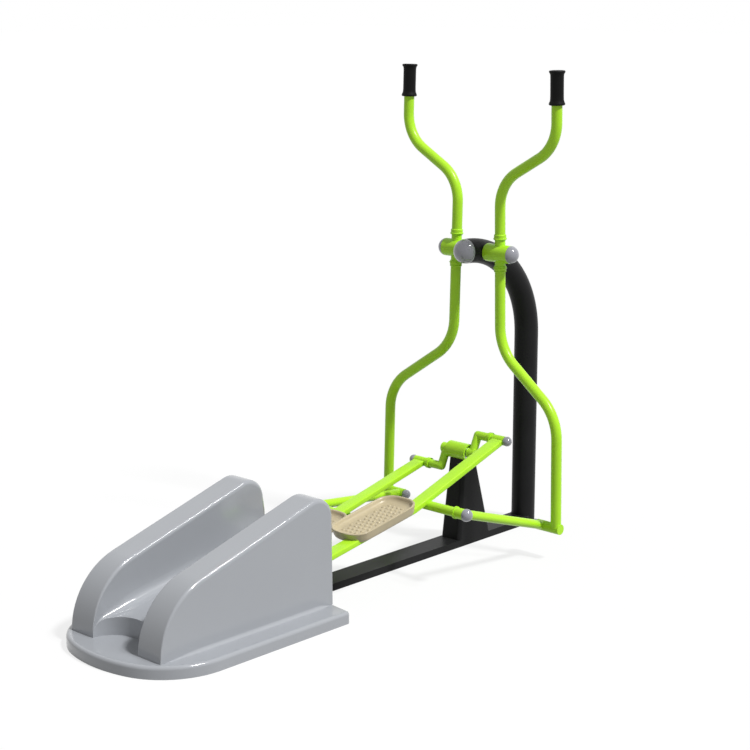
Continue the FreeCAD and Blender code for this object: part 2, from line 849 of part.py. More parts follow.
def pedal_bolts(side):
    floor = bar_height / 2 + pedal_floor
    bolts = []
    for place in bolt_places():
        head = rod(V(place, 0, floor), V(place, 0, floor + bolt_head_height), bolt_head_radius)
        shank = rod(V(place, 0, floor - bolt_length), V(place, 0, floor), bolt_radius)
        bolts.append(head.fuse(shank).removeSplitter())
    group = Part.makeCompound(bolts)
    group.translate(V(0, side.sign * bar_y, 0))
    return side.on_bar(on_rear_run(group))


# Handles, drawn in the handle's own frame: Z up from the pivot's axis

def hub(side):
    y = side.sign * hub_y
    near = side.sign * hub_near_y
    far = side.sign * hub_far_y
    body = cross_rod(0, near, far, 0, hub_radius)
    body = body.fuse(rod(V(0, y, -lower_socket_z), V(0, y, upper_socket_z), arm_radius))
    for height in (upper_socket_z, -lower_socket_z):
        low = V(0, y, height - socket_height / 2)
        high = V(0, y, height + socket_height / 2)
        body = body.fuse(rod(low, high, socket_radius))
    body = body.cut(rod(V(0, y, upper_socket_z), V(0, y, upper_socket_z + socket_height), arm_radius + running_gap))
    body = body.cut(rod(V(0, y, -lower_socket_z - socket_height), V(0, y, -lower_socket_z),
                        arm_radius + running_gap))
    return side.on_handle(body.cut(cross_rod(0, near, far, 0, hub_bush_radius)))


def hub_bushes(side):
    rings = []
    for start in (hub_near_y, hub_far_y - hub_bush_length):
        inner = side.sign * start
        outer = side.sign * (start + hub_bush_length)
        rings.append(cross_pipe(0, inner, outer, 0, hub_bush_radius, pivot_shaft_radius + running_gap))
    return side.on_handle(Part.makeCompound(rings))


def hub_cap(side):
    outward = V(0, side.sign, 0)
    return side.on_handle(button(outward * hub_far_y, outward, hub_radius, hub_cap_edge, hub_cap_dome))


def upper_arm(side):
    s = side.sign
    path = [V(0, s * hub_y, upper_socket_z), V(0, s * hub_y, upper_bend_z),
            V(0, s * grip_y, upper_turn_z), V(0, s * grip_y, grip_top_z - grip_top)]
    return side.on_handle(bent_tube(path, upper_bend_radius, arm_radius, arm_radius - arm_wall))


def lower_arm(side):
    s = side.sign
    path = [V(0, s * hub_y, -lower_socket_z), V(0, s * hub_y, -lower_bend_z),
            V(-foot_setback, s * foot_y, -lower_turn_z), V(-foot_setback, s * foot_y, -foot_z)]
    pipe = bent_tube(path, lower_bend_radius, arm_radius, arm_radius - arm_wall)
    far = foot_y + 2 * arm_radius
    return side.on_handle(pipe.cut(cross_rod(-foot_setback, s * (foot_y - 2 * arm_radius), s * far, -foot_z,
                                             arm_radius)))


def foot_pin(side):
    """A bar across the arm's foot, as thick as the arm, that ends at the link."""
    near = side.sign * (link_y + link_nose_out + side_gap)
    far = side.sign * (foot_y + arm_radius + foot_pin_overhang)
    return side.on_handle(cross_rod(-foot_setback, near, far, -foot_z, arm_radius))


def grip(side):
    y = side.sign * grip_y
    low = grip_top_z - grip_length
    body = rod(V(0, y, low), V(0, y, grip_top_z), grip_radius)
    body = body.fuse(rod(V(0, y, low), V(0, y, low + grip_flange), grip_flange_radius))
    body = body.fuse(rod(V(0, y, grip_top_z - grip_flange), V(0, y, grip_top_z), grip_flange_radius))
    bore = rod(V(0, y, low), V(0, y, grip_top_z - grip_top), arm_radius)
    return side.on_handle(body.cut(bore).removeSplitter())


# Links between the handles' feet and the pedal bars

def link_ends(side):
    """The inner and outer faces of the link's rear sleeve."""
    return side.sign * (link_y - link_sleeve_half), side.sign * (link_y + link_sleeve_half)


def link(side):
    near, far = link_ends(side)
    nose_far = side.sign * (link_y + link_nose_out)
    collar_end = near + side.sign * link_collar_width
    tail = V(0, side.sign * link_y, 0)
    nose = V(link_length, side.sign * link_y, 0)

    def shaft(radius):
        # Its seam is turned away from the sleeves' edges.
        piece = rod(tail, nose, radius)
        piece.rotate(tail, nose - tail, seam_turn_deg)
        return piece

    body = shaft(link_radius)
    body = body.fuse(cross_rod(0, near, far, 0, link_sleeve_radius))
    body = body.fuse(cross_rod(link_length, near, nose_far, 0, link_sleeve_radius))
    body = body.fuse(cross_rod(0, near, collar_end, 0, link_collar_radius))
    body = body.cut(shaft(link_radius - link_wall))
    body = body.cut(cross_rod(0, near, far, 0, link_bush_radius))
    body = body.cut(cross_rod(link_length, near, nose_far, 0, ball_spigot_radius))
    return side.on_link(body)


def link_bush(side):
    near, far = link_ends(side)
    return side.on_link(cross_pipe(0, near, far, 0, link_bush_radius, journal_radius + running_gap))


def link_cap(side):
    """The ball on the outer end of the link's rear sleeve."""
    near, far = link_ends(side)
    ball = Part.makeSphere(link_ball_radius, V(0, far + side.sign * link_ball_out, 0))
    return side.on_link(ball.cut(cross_rod(0, near, far, 0, 2 * link_ball_radius)))


def foot_ball(side):
    """The ball end of the link's front pin, on the inner side."""
    near = link_ends(side)[0]
    nose_far = side.sign * (link_y + link_nose_out)
    ball = Part.makeSphere(ball_radius, V(link_length, near - side.sign * ball_inset, 0))
    ball = ball.cut(cross_rod(link_length, near, nose_far, 0, 2 * ball_radius))
    return side.on_link(ball.fuse(cross_rod(link_length, near, nose_far, 0, ball_spigot_radius)))


single_pieces = (
    base_plate, step_ramp, rail_screws, base_beam, cross_members, post, post_plug, post_end_cap,
    pivot_tube, pivot_shaft, crank_stand, crank_bearing_tube, crank_bearings, crank_shaft,
)
paired_pieces = (
    guard, rail, rear_axle, rollers, crank_throw, bar, bar_front_sleeve, pin_ball, cross_tube,
    pedal, pedal_bolts, hub, hub_bushes, hub_cap, upper_arm, lower_arm, foot_pin, grip,
    link, link_bush, link_cap, foot_ball,
)


def save(name, shape):
    placed = shape.copy()
    placed.translate(shift)
    placed.exportStep("parts/" + name + ".step")


os.makedirs("parts", exist_ok=True)
for piece in single_pieces:
    save(piece.__name__, piece())
for piece in paired_pieces:
    for side in sides:
        save(side.name + "_" + piece.__name__, piece(side))
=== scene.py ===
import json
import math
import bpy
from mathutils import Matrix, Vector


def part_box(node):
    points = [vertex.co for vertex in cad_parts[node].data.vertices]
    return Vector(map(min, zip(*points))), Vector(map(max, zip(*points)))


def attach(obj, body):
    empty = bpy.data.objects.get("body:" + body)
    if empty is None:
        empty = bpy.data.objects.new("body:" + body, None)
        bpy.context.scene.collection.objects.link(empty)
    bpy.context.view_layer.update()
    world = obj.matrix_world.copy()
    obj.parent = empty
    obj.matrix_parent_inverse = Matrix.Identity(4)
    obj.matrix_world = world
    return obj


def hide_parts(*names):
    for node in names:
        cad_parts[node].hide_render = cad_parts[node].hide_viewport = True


bl_info = {
    "name": "Outdoor Cross Trainer",
    "version": (1, 0, 0),
    "blender": (4, 5, 0),
    "location": "View3D > Sidebar > Trainer",
    "description": "Dresses the packed cross trainer: housing, bars, trays, grips, finishes and stage",
    "category": "Object",
}

import bmesh
import bpy
from bpy.props import FloatProperty, FloatVectorProperty, IntProperty, PointerProperty
from mathutils import Matrix, Vector

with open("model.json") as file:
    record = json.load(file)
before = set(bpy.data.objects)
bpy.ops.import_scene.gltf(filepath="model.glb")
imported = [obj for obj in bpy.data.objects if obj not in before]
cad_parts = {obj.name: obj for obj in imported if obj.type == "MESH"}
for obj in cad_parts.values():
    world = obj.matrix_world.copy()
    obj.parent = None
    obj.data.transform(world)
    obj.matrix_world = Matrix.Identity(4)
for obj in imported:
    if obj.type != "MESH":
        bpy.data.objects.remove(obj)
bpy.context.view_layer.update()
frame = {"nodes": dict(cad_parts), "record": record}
SIDES = (("left", 1), ("right", -1))
MM = 0.001
# Vertices this close are one, and places this close count as the same.
TINY = 0.01 * MM
TOUCH = 0.1 * MM
ALONG = Vector((1, 0, 0))
ACROSS = Vector((0, 1, 0))
UP = Vector((0, 0, 1))
QUARTER_TURN = math.pi / 2
FULL_TURN = 2 * math.pi


def linear(hex_text):
    """An sRGB hex colour as linear red, green and blue."""
    channels = [int(hex_text[i:i + 2], 16) / 255 for i in (1, 3, 5)]
    return tuple(c / 12.92 if c <= 0.04045 else ((c + 0.055) / 1.055) ** 2.4 for c in channels)


def colour_property(name, description, hex_text):
    return FloatVectorProperty(
        name=name, description=description, subtype="COLOR", size=3, min=0, max=1, default=linear(hex_text))


def length_property(name, description, millimetres):
    metres = millimetres * MM
    return FloatProperty(
        name=name, description=description, default=metres, min=0, unit="LENGTH", subtype="DISTANCE")


def angle_property(name, description, degrees):
    return FloatProperty(
        name=name, description=description, default=math.radians(degrees), unit="ROTATION", subtype="ANGLE")


def count_property(name, description, count):
    return IntProperty(name=name, description=description, default=count, min=1)


def level_property(name, description, level):
    return FloatProperty(name=name, description=description, default=level, min=0)


def share_property(name, description, share):
    return FloatProperty(name=name, description=description, default=share, min=0, max=1, subtype="FACTOR")


class TrainerColours(bpy.types.PropertyGroup):
    """Colours of the trainer's finishes."""

    housing: colour_property("Housing", "Gel coat of the moulded base, step and fins", "#9EA1A6")
    lime: colour_property("Lime", "Powder coat of the bars, links and handles", "#B0E82E")
    black: colour_property("Black", "Powder coat of the post, beam and crank stand", "#202021")
    cap: colour_property("Caps", "Moulded balls, domes and end caps", "#8E8F97")
    pedal: colour_property("Pedals", "Moulded foot trays", "#B8AB8B")
    grip: colour_property("Grips", "Rubber of the hand grips", "#070707")
    steel: colour_property("Steel", "Turned shafts and bolts", "#C4C6C9")
    zinc: colour_property("Zinc", "Plated rails", "#B9BCC2")
    nylon: colour_property("Nylon", "Rollers and bushes", "#26272A")


class HousingSizes(bpy.types.PropertyGroup):
    """Sizes of the moulded housing that stands for base, step and fins."""

    rear_radius: length_property("Rear radius", "Radius of the base's rear edge", 480)
    corner_radius: length_property("Corner radius", "Radius of the base's rear corners", 235)
    front_corner: length_property("Front corner", "Radius of the base's front corners", 14)
    crest: length_property("Fin crest", "Height at which the fins' slope would reach their front", 434)
    slope: angle_property("Fin slope", "Fall of the fins towards the rear", 16.5)
    nose_radius: length_property("Fin nose", "Radius at the top of the fins' front", 72)
    step_slope: angle_property("Step slope", "Rise of the step towards the front", 9.6)
    notch_depth: length_property("Notch depth", "How far the step's riser curves in", 92)
    wall: length_property("Wall", "Thickness of the fins' shell", 6)
    rim_round: length_property("Rim round", "Radius along the fins' top edges", 15)
    foot_cove: length_property("Foot cove", "Hollow radius where the fins meet the base", 12)
    step_cove: length_property("Step cove", "Hollow radius where the fins meet the step", 42)
    cove_run: length_property("Cove run-out", "Length over which the step's coves open from the rear", 150)
    base_round: length_property("Base round", "Radius along the base's top edge", 12)
    slot_width: length_property("Slot width", "Width of the bars' slots in the fins' front", 68)
    slot_low: length_property("Slot bottom", "Height of the slots' lower edge", 102.6)
    slot_high: length_property("Slot top", "Height of the slots' upper edge", 230.5)


class PedalSizes(bpy.types.PropertyGroup):
    """Sizes of the foot trays and of the bars that carry them."""

    length: length_property("Tray length", "Length of a foot tray", 319)
    width: length_property("Tray width", "Width of a foot tray", 162)
    height: length_property("Tray height", "Height of a foot tray's toe over its bar", 25)
    skirt: length_property("Tray skirt", "How far a foot tray reaches down past its bar's top", 14)
    corner: length_property("Tray corner", "Radius of a foot tray's corners in plan", 66)
    inset: length_property("Tray inset", "How far a foot tray sits inwards of its bar", 34)
    lead: length_property("Tray lead", "How far a foot tray reaches past the bar's bend", 11)
    side_drop: length_property("Side drop", "How much lower the sides of a tray are than its toe", 2)
    floor: length_property("Tray floor", "Height of a tray's floor over its bar", 5)
    stud_radius: length_property("Stud radius", "Radius of the studs on a tray's floor", 7)
    stud_height: length_property("Stud height", "Height of the studs", 3.2)
    stud_pitch: length_property("Stud pitch", "Distance between studs", 20)
    stud_rows: count_property("Stud rows", "Rows of studs across a tray", 5)
    stud_columns: count_property("Stud columns", "Columns of studs along a tray", 12)
    bar_width: length_property("Bar width", "Width of a bar", 50)
    bar_height: length_property("Bar height", "Thickness of a bar", 20)
    bar_corner: length_property("Bar corner", "Radius of a bar's edges", 4)
    bend_at: length_property("Bend place", "Distance of a bar's bend from its rear axle", 993)
    bend_drop: length_property("Bend drop", "How far the bend lies under the line from axle to pin", 49)
    bend_radius: length_property("Bend radius", "Radius of a bar's bend", 150)
    sleeve_radius: length_property("Sleeve radius", "Radius of a bar's rear sleeve", 15)
    sleeve_bore: length_property("Sleeve bore", "Radius of the rear sleeve's bore", 8.05)


class HandleSizes(bpy.types.PropertyGroup):
    """Sizes of the grips and of the collars on the hubs."""

    grip_radius: length_property("Grip radius", "Radius of a grip at its waist", 23.6)
    flange_radius: length_property("Flange radius", "Radius of a grip's flanges", 28.6)
    grip_length: length_property("Grip length", "Length of a grip", 118)
    grip_top: length_property("Grip top", "Thickness of a grip's closed end", 5)
    flutes: count_property("Flutes", "Number of flutes round a grip", 20)
    flute_depth: length_property("Flute depth", "Depth of a grip's flutes", 0.8)
    arm_y: length_property("Arm root", "Distance of the arms' roots from the middle", 103)
    arm_radius: length_property("Arm radius", "Radius of the arms", 19)
    socket_radius: length_property("Socket radius", "Radius of the hub's sockets", 22)
    upper_collar: length_property("Upper collar", "Height of the topmost bead over the pivot", 66.5)
    lower_collar: length_property("Lower collar", "Depth of the lowest bead under the pivot", 64)
    collar_bead: length_property("Collar bead", "Radius of the beads round the arms", 3.2)
    socket_bead: length_property("Socket bead", "Radius of the beads round the sockets", 2.6)
    collar_gap: length_property("Collar gap", "Distance between the two beads of a collar", 12.5)
    weld_bead: length_property("Weld bead", "Radius of the welds on the black frame", 4)


class StageSettings(bpy.types.PropertyGroup):
    """Camera, lamps, sky and floor."""

    behind_post: length_property("Camera back", "Camera's distance behind the post's axis", 5130.31)
    beside: length_property("Camera aside", "Camera's distance to the right of the middle", 4070.6)
    above: length_property("Camera height", "Camera's height over the ground", 2015.1)
    heading: angle_property("Heading", "Camera's direction in plan, from +X towards +Y", 43.42)
    dip: angle_property("Dip", "Camera's downward tilt", 12.47)
    lens: FloatProperty(name="Lens", description="Focal length", default=84.73, min=10, unit="CAMERA")
    key_strength: level_property("Key", "Strength of the key lamp", 3.0)
    key_angle: angle_property("Key size", "Angle that the key lamp fills, which softens its shadows", 7)
    edge_strength: level_property("Edge", "Strength of the lamp that lines the edges", 0.5)
    edge_angle: angle_property("Edge size", "Angle that the edge lamp fills", 4)
    sky: level_property("Sky", "Strength of the even light from all round", 0.33)
    floor_seen: share_property("Floor", "Paleness of the floor as it is seen", 0.83)
    floor_bounce: share_property("Bounce", "Share of the light that the floor throws back up", 0.34)
    floor_glow: share_property("Floor glow", "Share of the floor that ignores shade", 0.8)


class TrainerSettings(bpy.types.PropertyGroup):
    """All that a user would change."""

    colours: PointerProperty(type=TrainerColours)
    housing: PointerProperty(type=HousingSizes)
    pedals: PointerProperty(type=PedalSizes)
    handles: PointerProperty(type=HandleSizes)
    stage: PointerProperty(type=StageSettings)


# Materials


# Where in the noise the colour's drift starts and ends, and how fine the two noises are.
DRIFT_FROM, DRIFT_TO = 0.3, 0.7
DRIFT_DETAIL = 3.0
GRAIN_DETAIL = 2.0


def node(tree, kind, inputs=None, **settings):
    """Adds a node. An input is a value, or another node's output, which is then linked."""
    new = tree.nodes.new(kind)
    for key, value in settings.items():
        setattr(new, key, value)
    for key, value in (inputs or {}).items():
        if isinstance(value, bpy.types.NodeSocket):
            tree.links.new(value, new.inputs[key])
        else:
            new.inputs[key].default_value = value
    return new


def empty_tree(owner):
    """Gives a material or a world an empty node tree."""
    owner.use_nodes = True
    owner.node_tree.nodes.clear()
    return owner.node_tree


def shade(colour, factor):
    """A colour made lighter or darker, with full opacity."""
    return tuple(min(1, c * factor) for c in colour) + (1,)


def finish(name, colour, drift, drift_mm, grain_mm, grain_height_mm, roughness, principled):
    """A finish with slow drift in its colour, and a grain that moves its gloss and its surface.

    drift is the colour's relative change, drift_mm the size of its patches, grain_mm the grain's width,
    and roughness the range that the grain spreads over."""
    made = bpy.data.materials.new(name)
    made.diffuse_color = tuple(colour) + (1,)
    tree = empty_tree(made)
    place = node(tree, "ShaderNodeTexCoord").outputs["Object"]
    scale = 1 / (drift_mm * MM)
    patches = node(tree, "ShaderNodeTexNoise", {"Vector": place, "Scale": scale, "Detail": DRIFT_DETAIL})
    tint = node(tree, "ShaderNodeValToRGB", {"Fac": patches.outputs["Fac"]})
    low, high = tint.color_ramp.elements
    low.position, low.color = DRIFT_FROM, shade(colour, 1 - drift)
    high.position, high.color = DRIFT_TO, shade(colour, 1 + drift)
    scale = 1 / (grain_mm * MM)
    grain = node(tree, "ShaderNodeTexNoise", {"Vector": place, "Scale": scale, "Detail": GRAIN_DETAIL})
    height = grain.outputs["Fac"]
    least, most = roughness
    gloss = node(tree, "ShaderNodeMapRange", {"Value": height, "To Min": least, "To Max": most})
    bump = node(tree, "ShaderNodeBump", {"Height": height, "Distance": grain_height_mm * MM, "Strength": 1.0})
    shader = node(tree, "ShaderNodeBsdfPrincipled", {
        "Base Color": tint.outputs["Color"], "Roughness": gloss.outputs["Result"],
        "Normal": bump.outputs["Normal"], **principled})
    node(tree, "ShaderNodeOutputMaterial", {"Surface": shader.outputs["BSDF"]})
    return made


def make_materials(colours):
    """One finish for each of the record's material slots."""
    return {
        # Glass-fibre moulding with a polished gel coat: even colour, wet gloss, a slow ripple from the mould.
        "housing_grey": finish("gel_coat_grey", colours.housing, 0.015, 220, 60, 0.05, (0.14, 0.18),
                               {"IOR": 1.5, "Coat Weight": 0.2, "Coat Roughness": 0.06}),
        # Gloss powder coat on steel: saturated, with the orange peel of a baked powder.
        "lime_paint": finish("powder_coat_lime", colours.lime, 0.03, 90, 3.0, 0.010, (0.24, 0.32),
                             {"IOR": 1.5, "Specular IOR Level": 0.25}),
        # The same coat in black, satin, where the orange peel breaks up the reflections.
        "black_paint": finish("powder_coat_black", colours.black, 0.12, 110, 3.0, 0.012, (0.34, 0.44),
                              {"IOR": 1.5, "Specular IOR Level": 0.08}),
        # Injection-moulded polypropylene plug: dull black.
        "black_plastic": finish("polypropylene_black", colours.black, 0.08, 30, 0.8, 0.02, (0.42, 0.55),
                                {"IOR": 1.49}),
        # Polished ABS caps: silver grey, bright round highlights.
        "cap_grey": finish("abs_grey", colours.cap, 0.03, 25, 6.0, 0.01, (0.10, 0.15),
                           {"IOR": 1.54, "Coat Weight": 0.4, "Coat Roughness": 0.05}),
        # Structural foam foot tray: satin, with a fine spark-eroded grain.
        "pedal_beige": finish("moulded_beige", colours.pedal, 0.05, 60, 1.6, 0.03, (0.28, 0.40),
                              {"IOR": 1.5}),
        # Moulded grip rubber: nearly black, dull, with small patches of slightly lighter and darker tone.
        "grip_rubber": finish("rubber_black", colours.grip, 0.20, 14, 0.9, 0.04, (0.48, 0.64),
                              {"IOR": 1.52, "Specular IOR Level": 0.12}),
        # Turned steel: bright, with fine tool marks.
        "bright_steel": finish("turned_steel", colours.steel, 0.05, 18, 0.7, 0.01, (0.22, 0.36),
                               {"Metallic": 1.0}),
        # Zinc plate on mild steel: duller, with a faint spangle.
        "zinc_steel": finish("zinc_plate", colours.zinc, 0.10, 12, 1.5, 0.012, (0.32, 0.46),
                             {"Metallic": 1.0}),
        # Cast nylon: black, waxy.
        "roller_nylon": finish("cast_nylon", colours.nylon, 0.08, 20, 1.2, 0.02, (0.38, 0.50),
                               {"IOR": 1.53}),
        # Acetal bushes: dark grey, smooth.
        "bush_plastic": finish("acetal_grey", colours.nylon, 0.05, 15, 1.0, 0.01, (0.30, 0.40),
                               {"IOR": 1.48}),
    }


# The finishes by slot, once they are made.
MATERIALS = {}


# Mesh helpers


def middle(name):
    """The middle of a CAD node's box."""
    low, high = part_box(name)
    return (low + high) / 2


def along_frame(origin, heading):
    """A frame at a place, with X along a heading in the XZ plane, Y across and Z square to both."""
    x = Vector((heading.x, 0, heading.z)).normalized()
    z = x.cross(ACROSS)
    return Matrix.Translation(origin) @ Matrix((x, ACROSS, z)).transposed().to_4x4()


VERT, EDGE, FACE = bmesh.types.BMVert, bmesh.types.BMEdge, bmesh.types.BMFace


def only(kind, items):
    """The items of one kind, out of what an operator gives back."""
    return [item for item in items if isinstance(item, kind)]


def tidy(bm):
    """Joins vertices that meet, and turns all faces outwards."""
    bmesh.ops.remove_doubles(bm, verts=bm.verts, dist=TINY)
    bmesh.ops.recalc_face_normals(bm, faces=bm.faces)


def mesh_of(bm, name):
    """Turns a bmesh into a mesh, and frees it."""
    mesh = bpy.data.meshes.new(name)
    bm.to_mesh(mesh)
    bm.free()
    return mesh


def add_object(name, data):
    made = bpy.data.objects.new(name, data)
    bpy.context.scene.collection.objects.link(made)
    return made


def as_piece(bm, name, slot, body, replaced=(), smooth_deg=None, place=Matrix()):
    """Turns a bmesh into a piece at a place, which rides on a body and stands for CAD nodes.

    Without an angle, the edges keep the sharpness that they have."""
    bmesh.ops.transform(bm, matrix=place, verts=bm.verts)
    mesh = mesh_of(bm, name)
    if smooth_deg is not None:
        mesh.shade_smooth()
        mesh.set_sharp_from_angle(angle=math.radians(smooth_deg))
    mesh.materials.append(MATERIALS[slot])
    piece = add_object(name, mesh)
    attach(piece, body)
    if replaced:
        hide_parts(*replaced)
    return piece


def soften(piece, levels):
    """A subdivision surface over a piece's cage."""
    skin = piece.modifiers.new("skin", "SUBSURF")
    skin.levels = levels
    skin.render_levels = levels


def chain(bm, start, centre, angle, steps):
    """Vertices along a level arc from a vertex, by turning it about the centre."""
    verts = [start]
    for _ in range(steps):
        turned = bmesh.ops.spin(bm, geom=[verts[-1]], cent=centre, axis=UP, angle=angle / steps, steps=1)
        verts.append(turned["geom_last"][0])
    return verts


def raise_faces(bm, faces):
    """Extrudes faces in place and gives the new faces and their vertices."""
    made = bmesh.ops.extrude_face_region(bm, geom=faces)["geom"]
    bmesh.ops.delete(bm, geom=[f for f in faces if f.is_valid], context="FACES")
    return only(FACE, made), only(VERT, made)


def close_holes(bm):
    """Puts a face across each open edge loop."""
    bmesh.ops.holes_fill(bm, edges=[e for e in bm.edges if e.is_boundary])


def cut_across(bm, faces, axis, values):
    """Cuts faces by planes square to an axis, and gives all their pieces."""
    pieces = list(faces)
    for value in values:
        geom = set(pieces)
        for f in pieces:
            geom.update(f.edges)
            geom.update(f.verts)
        made = bmesh.ops.bisect_plane(bm, geom=list(geom), dist=TINY, plane_co=axis * value, plane_no=axis)
        pieces = only(FACE, made["geom"])
    return pieces


def rounded_face(bm, corners, radius, segments):
    """A flat face with its corners rounded."""
    face = bm.faces.new([bm.verts.new(c) for c in corners])
    bmesh.ops.bevel(bm, geom=face.verts[:], offset=radius, offset_type="OFFSET", affect="VERTICES",
                    segments=segments, profile=0.5, material=-1)
    return bm.faces[:][-1]


def spun(bm, profile, steps, closed=False):
    """Spins (radius, height) pairs about Z into a skin, and gives its vertices."""
    before = set(bm.verts)
    verts = [bm.verts.new((r, 0, z)) for r, z in profile]
    ends = verts[1:] + verts[:1] if closed else verts[1:]
    edges = [bm.edges.new(pair) for pair in zip(verts, ends)]
    bmesh.ops.spin(bm, geom=verts + edges, cent=(0, 0, 0), axis=UP, angle=FULL_TURN, steps=steps,
                   use_merge=True)
    made = [v for v in bm.verts if v not in before]
    bmesh.ops.remove_doubles(bm, verts=made, dist=TINY)
    return [v for v in bm.verts if v not in before]


def spread(start, end, steps):
    """Evenly spaced values from start to end, both included."""
    return [start + (end - start) * i / steps for i in range(steps + 1)]


def is_at(value, target):
    return abs(value - target) < TOUCH


# Moulded housing


BASE, STEP, FIN = 0, 1, 2
# Where the hollow along a fin's foot opens and closes, from the fin's rear and front.
FOOT_START = 20 * MM
FOOT_RUN = 120 * MM
FOOT_STOP = 22 * MM
FOOT_STOP_RUN = 40 * MM
# How finely the curves are drawn, in steps.
TAIL_STEPS = 14
NOSE_STEPS = 12
NOTCH_STEPS = 14
COVE_STEPS = 7
FRONT_CORNER_STEPS = 4
SIDE_CORNER_STEPS = 8
REAR_CORNER_STEPS = 5
REAR_STEPS = 10
ROUND_STEPS = 6
# The lean from which an edge may be rounded, the lean up to which it is smooth without a round, and the lean
# under which two faces become one.
ROUND_LEAN = 0.5
SMOOTH_LEAN = math.radians(35)
FLAT_LEAN = math.radians(0.4)
# The share of a face's normal along an axis from which the face is square to it.
SQUARE_ON = 0.999
# A fin's hollow: how far its ceiling is under the nose's centre, and its last two sections, as the distance
# from the fin's rear and the height over the base.
HOLLOW_DROP = 12 * MM
HOLLOW_TAIL = ((27 * MM, 90 * MM), (12 * MM, 37 * MM))


def cove_rise(distance, radius):
    """How high a cove of a radius stands at a distance from the wall that it runs up."""
    away = radius - max(0, distance)
    return radius - math.sqrt(radius ** 2 - away ** 2) if away > 0 else 0


class Housing:
    """The outline of base, step and fins, from the CAD nodes' boxes."""

    def __init__(self, sizes):
        low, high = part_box("left_guard")
        base_low, base_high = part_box("base_plate")
        self.sizes = sizes
        self.rear, self.front = low.x, high.x
        self.inner, self.outer = low.y, high.y
        self.base_rear, self.base_front = base_low.x, base_high.x
        self.half = base_high.y
        self.floor = base_high.z
        self.step_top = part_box("step_ramp")[1].z
        slope = sizes.slope
        fall = sizes.crest - self.floor - (self.front - self.rear) * math.tan(slope)
        self.tail_radius = fall / (1 / math.cos(slope) - math.tan(slope))
        self.tail_x = self.rear + self.tail_radius
        self.tail_end = self.tail_x - self.tail_radius * math.sin(slope)
        self.nose_x = self.front - sizes.nose_radius
        self.nose_z = self.line(self.nose_x) - sizes.nose_radius / math.cos(slope)
        step = sizes.step_slope
        rise = self.step_line(self.rear) - self.floor
        self.lip = rise * math.cos(step) / (1 - math.sin(step))

    def line(self, x):
        """Height of the fins' straight slope."""
        return self.sizes.crest - (self.front - x) * math.tan(self.sizes.slope)

    def step_line(self, x):
        """Height of the step's straight slope."""
        return self.step_top - (self.front - x) * math.tan(self.sizes.step_slope)

    def fin_height(self, x):
        """Height of the fins' top, with its round nose and tail."""
        radius = self.sizes.nose_radius
        if x > self.nose_x - radius * math.sin(self.sizes.slope):
            return self.nose_z + math.sqrt(max(0, radius ** 2 - (x - self.nose_x) ** 2))
        if x < self.tail_end:
            return self.floor + math.sqrt(max(0, self.tail_radius ** 2 - (x - self.tail_x) ** 2))
        return self.line(x)

    def step_height(self, x, y):
        """Height of the step, with its round lip and the coves up the fins."""
        centre = self.rear + self.lip
        height = self.step_line(x)
        if x < centre - self.lip * math.sin(self.sizes.step_slope):
            height = self.floor + math.sqrt(max(0, self.lip ** 2 - (x - centre) ** 2))
        opening = min(1, max(0, (x - self.rear) / self.sizes.cove_run))
        return height + cove_rise(self.inner - abs(y), self.sizes.step_cove * opening)

    def foot_height(self, x, y):
        """Height of the base beside a fin, with the hollow along the fin's foot."""
        opening = (x - self.rear - FOOT_START) / FOOT_RUN
        closing = (self.front - FOOT_STOP - x) / FOOT_STOP_RUN
        run_out = min(1, max(0, min(opening, closing)))
        return self.floor + cove_rise(abs(y) - self.outer, self.sizes.foot_cove * run_out)

    def tail_share(self, x):
        """How far round the tail's curve a place is, from 0 at the foot to 1 where the slope starts."""
        turn = math.acos(min(1, max(0, (self.tail_x - x) / self.tail_radius)))
        return min(1, turn / (QUARTER_TURN - self.sizes.slope))

    def tail_columns(self):
        """Places along X where the fins' tails bend, which the step and the feet share."""
        turns = spread(0, QUARTER_TURN - self.sizes.slope, TAIL_STEPS)[1:]
        return [self.tail_x - self.tail_radius * math.cos(a) for a in turns]

    def nose_columns(self):
        """Places along X where the fins' noses bend."""
        turns = spread(-self.sizes.slope, QUARTER_TURN, NOSE_STEPS)[:-1]
        return [self.nose_x + self.sizes.nose_radius * math.sin(a) for a in turns]


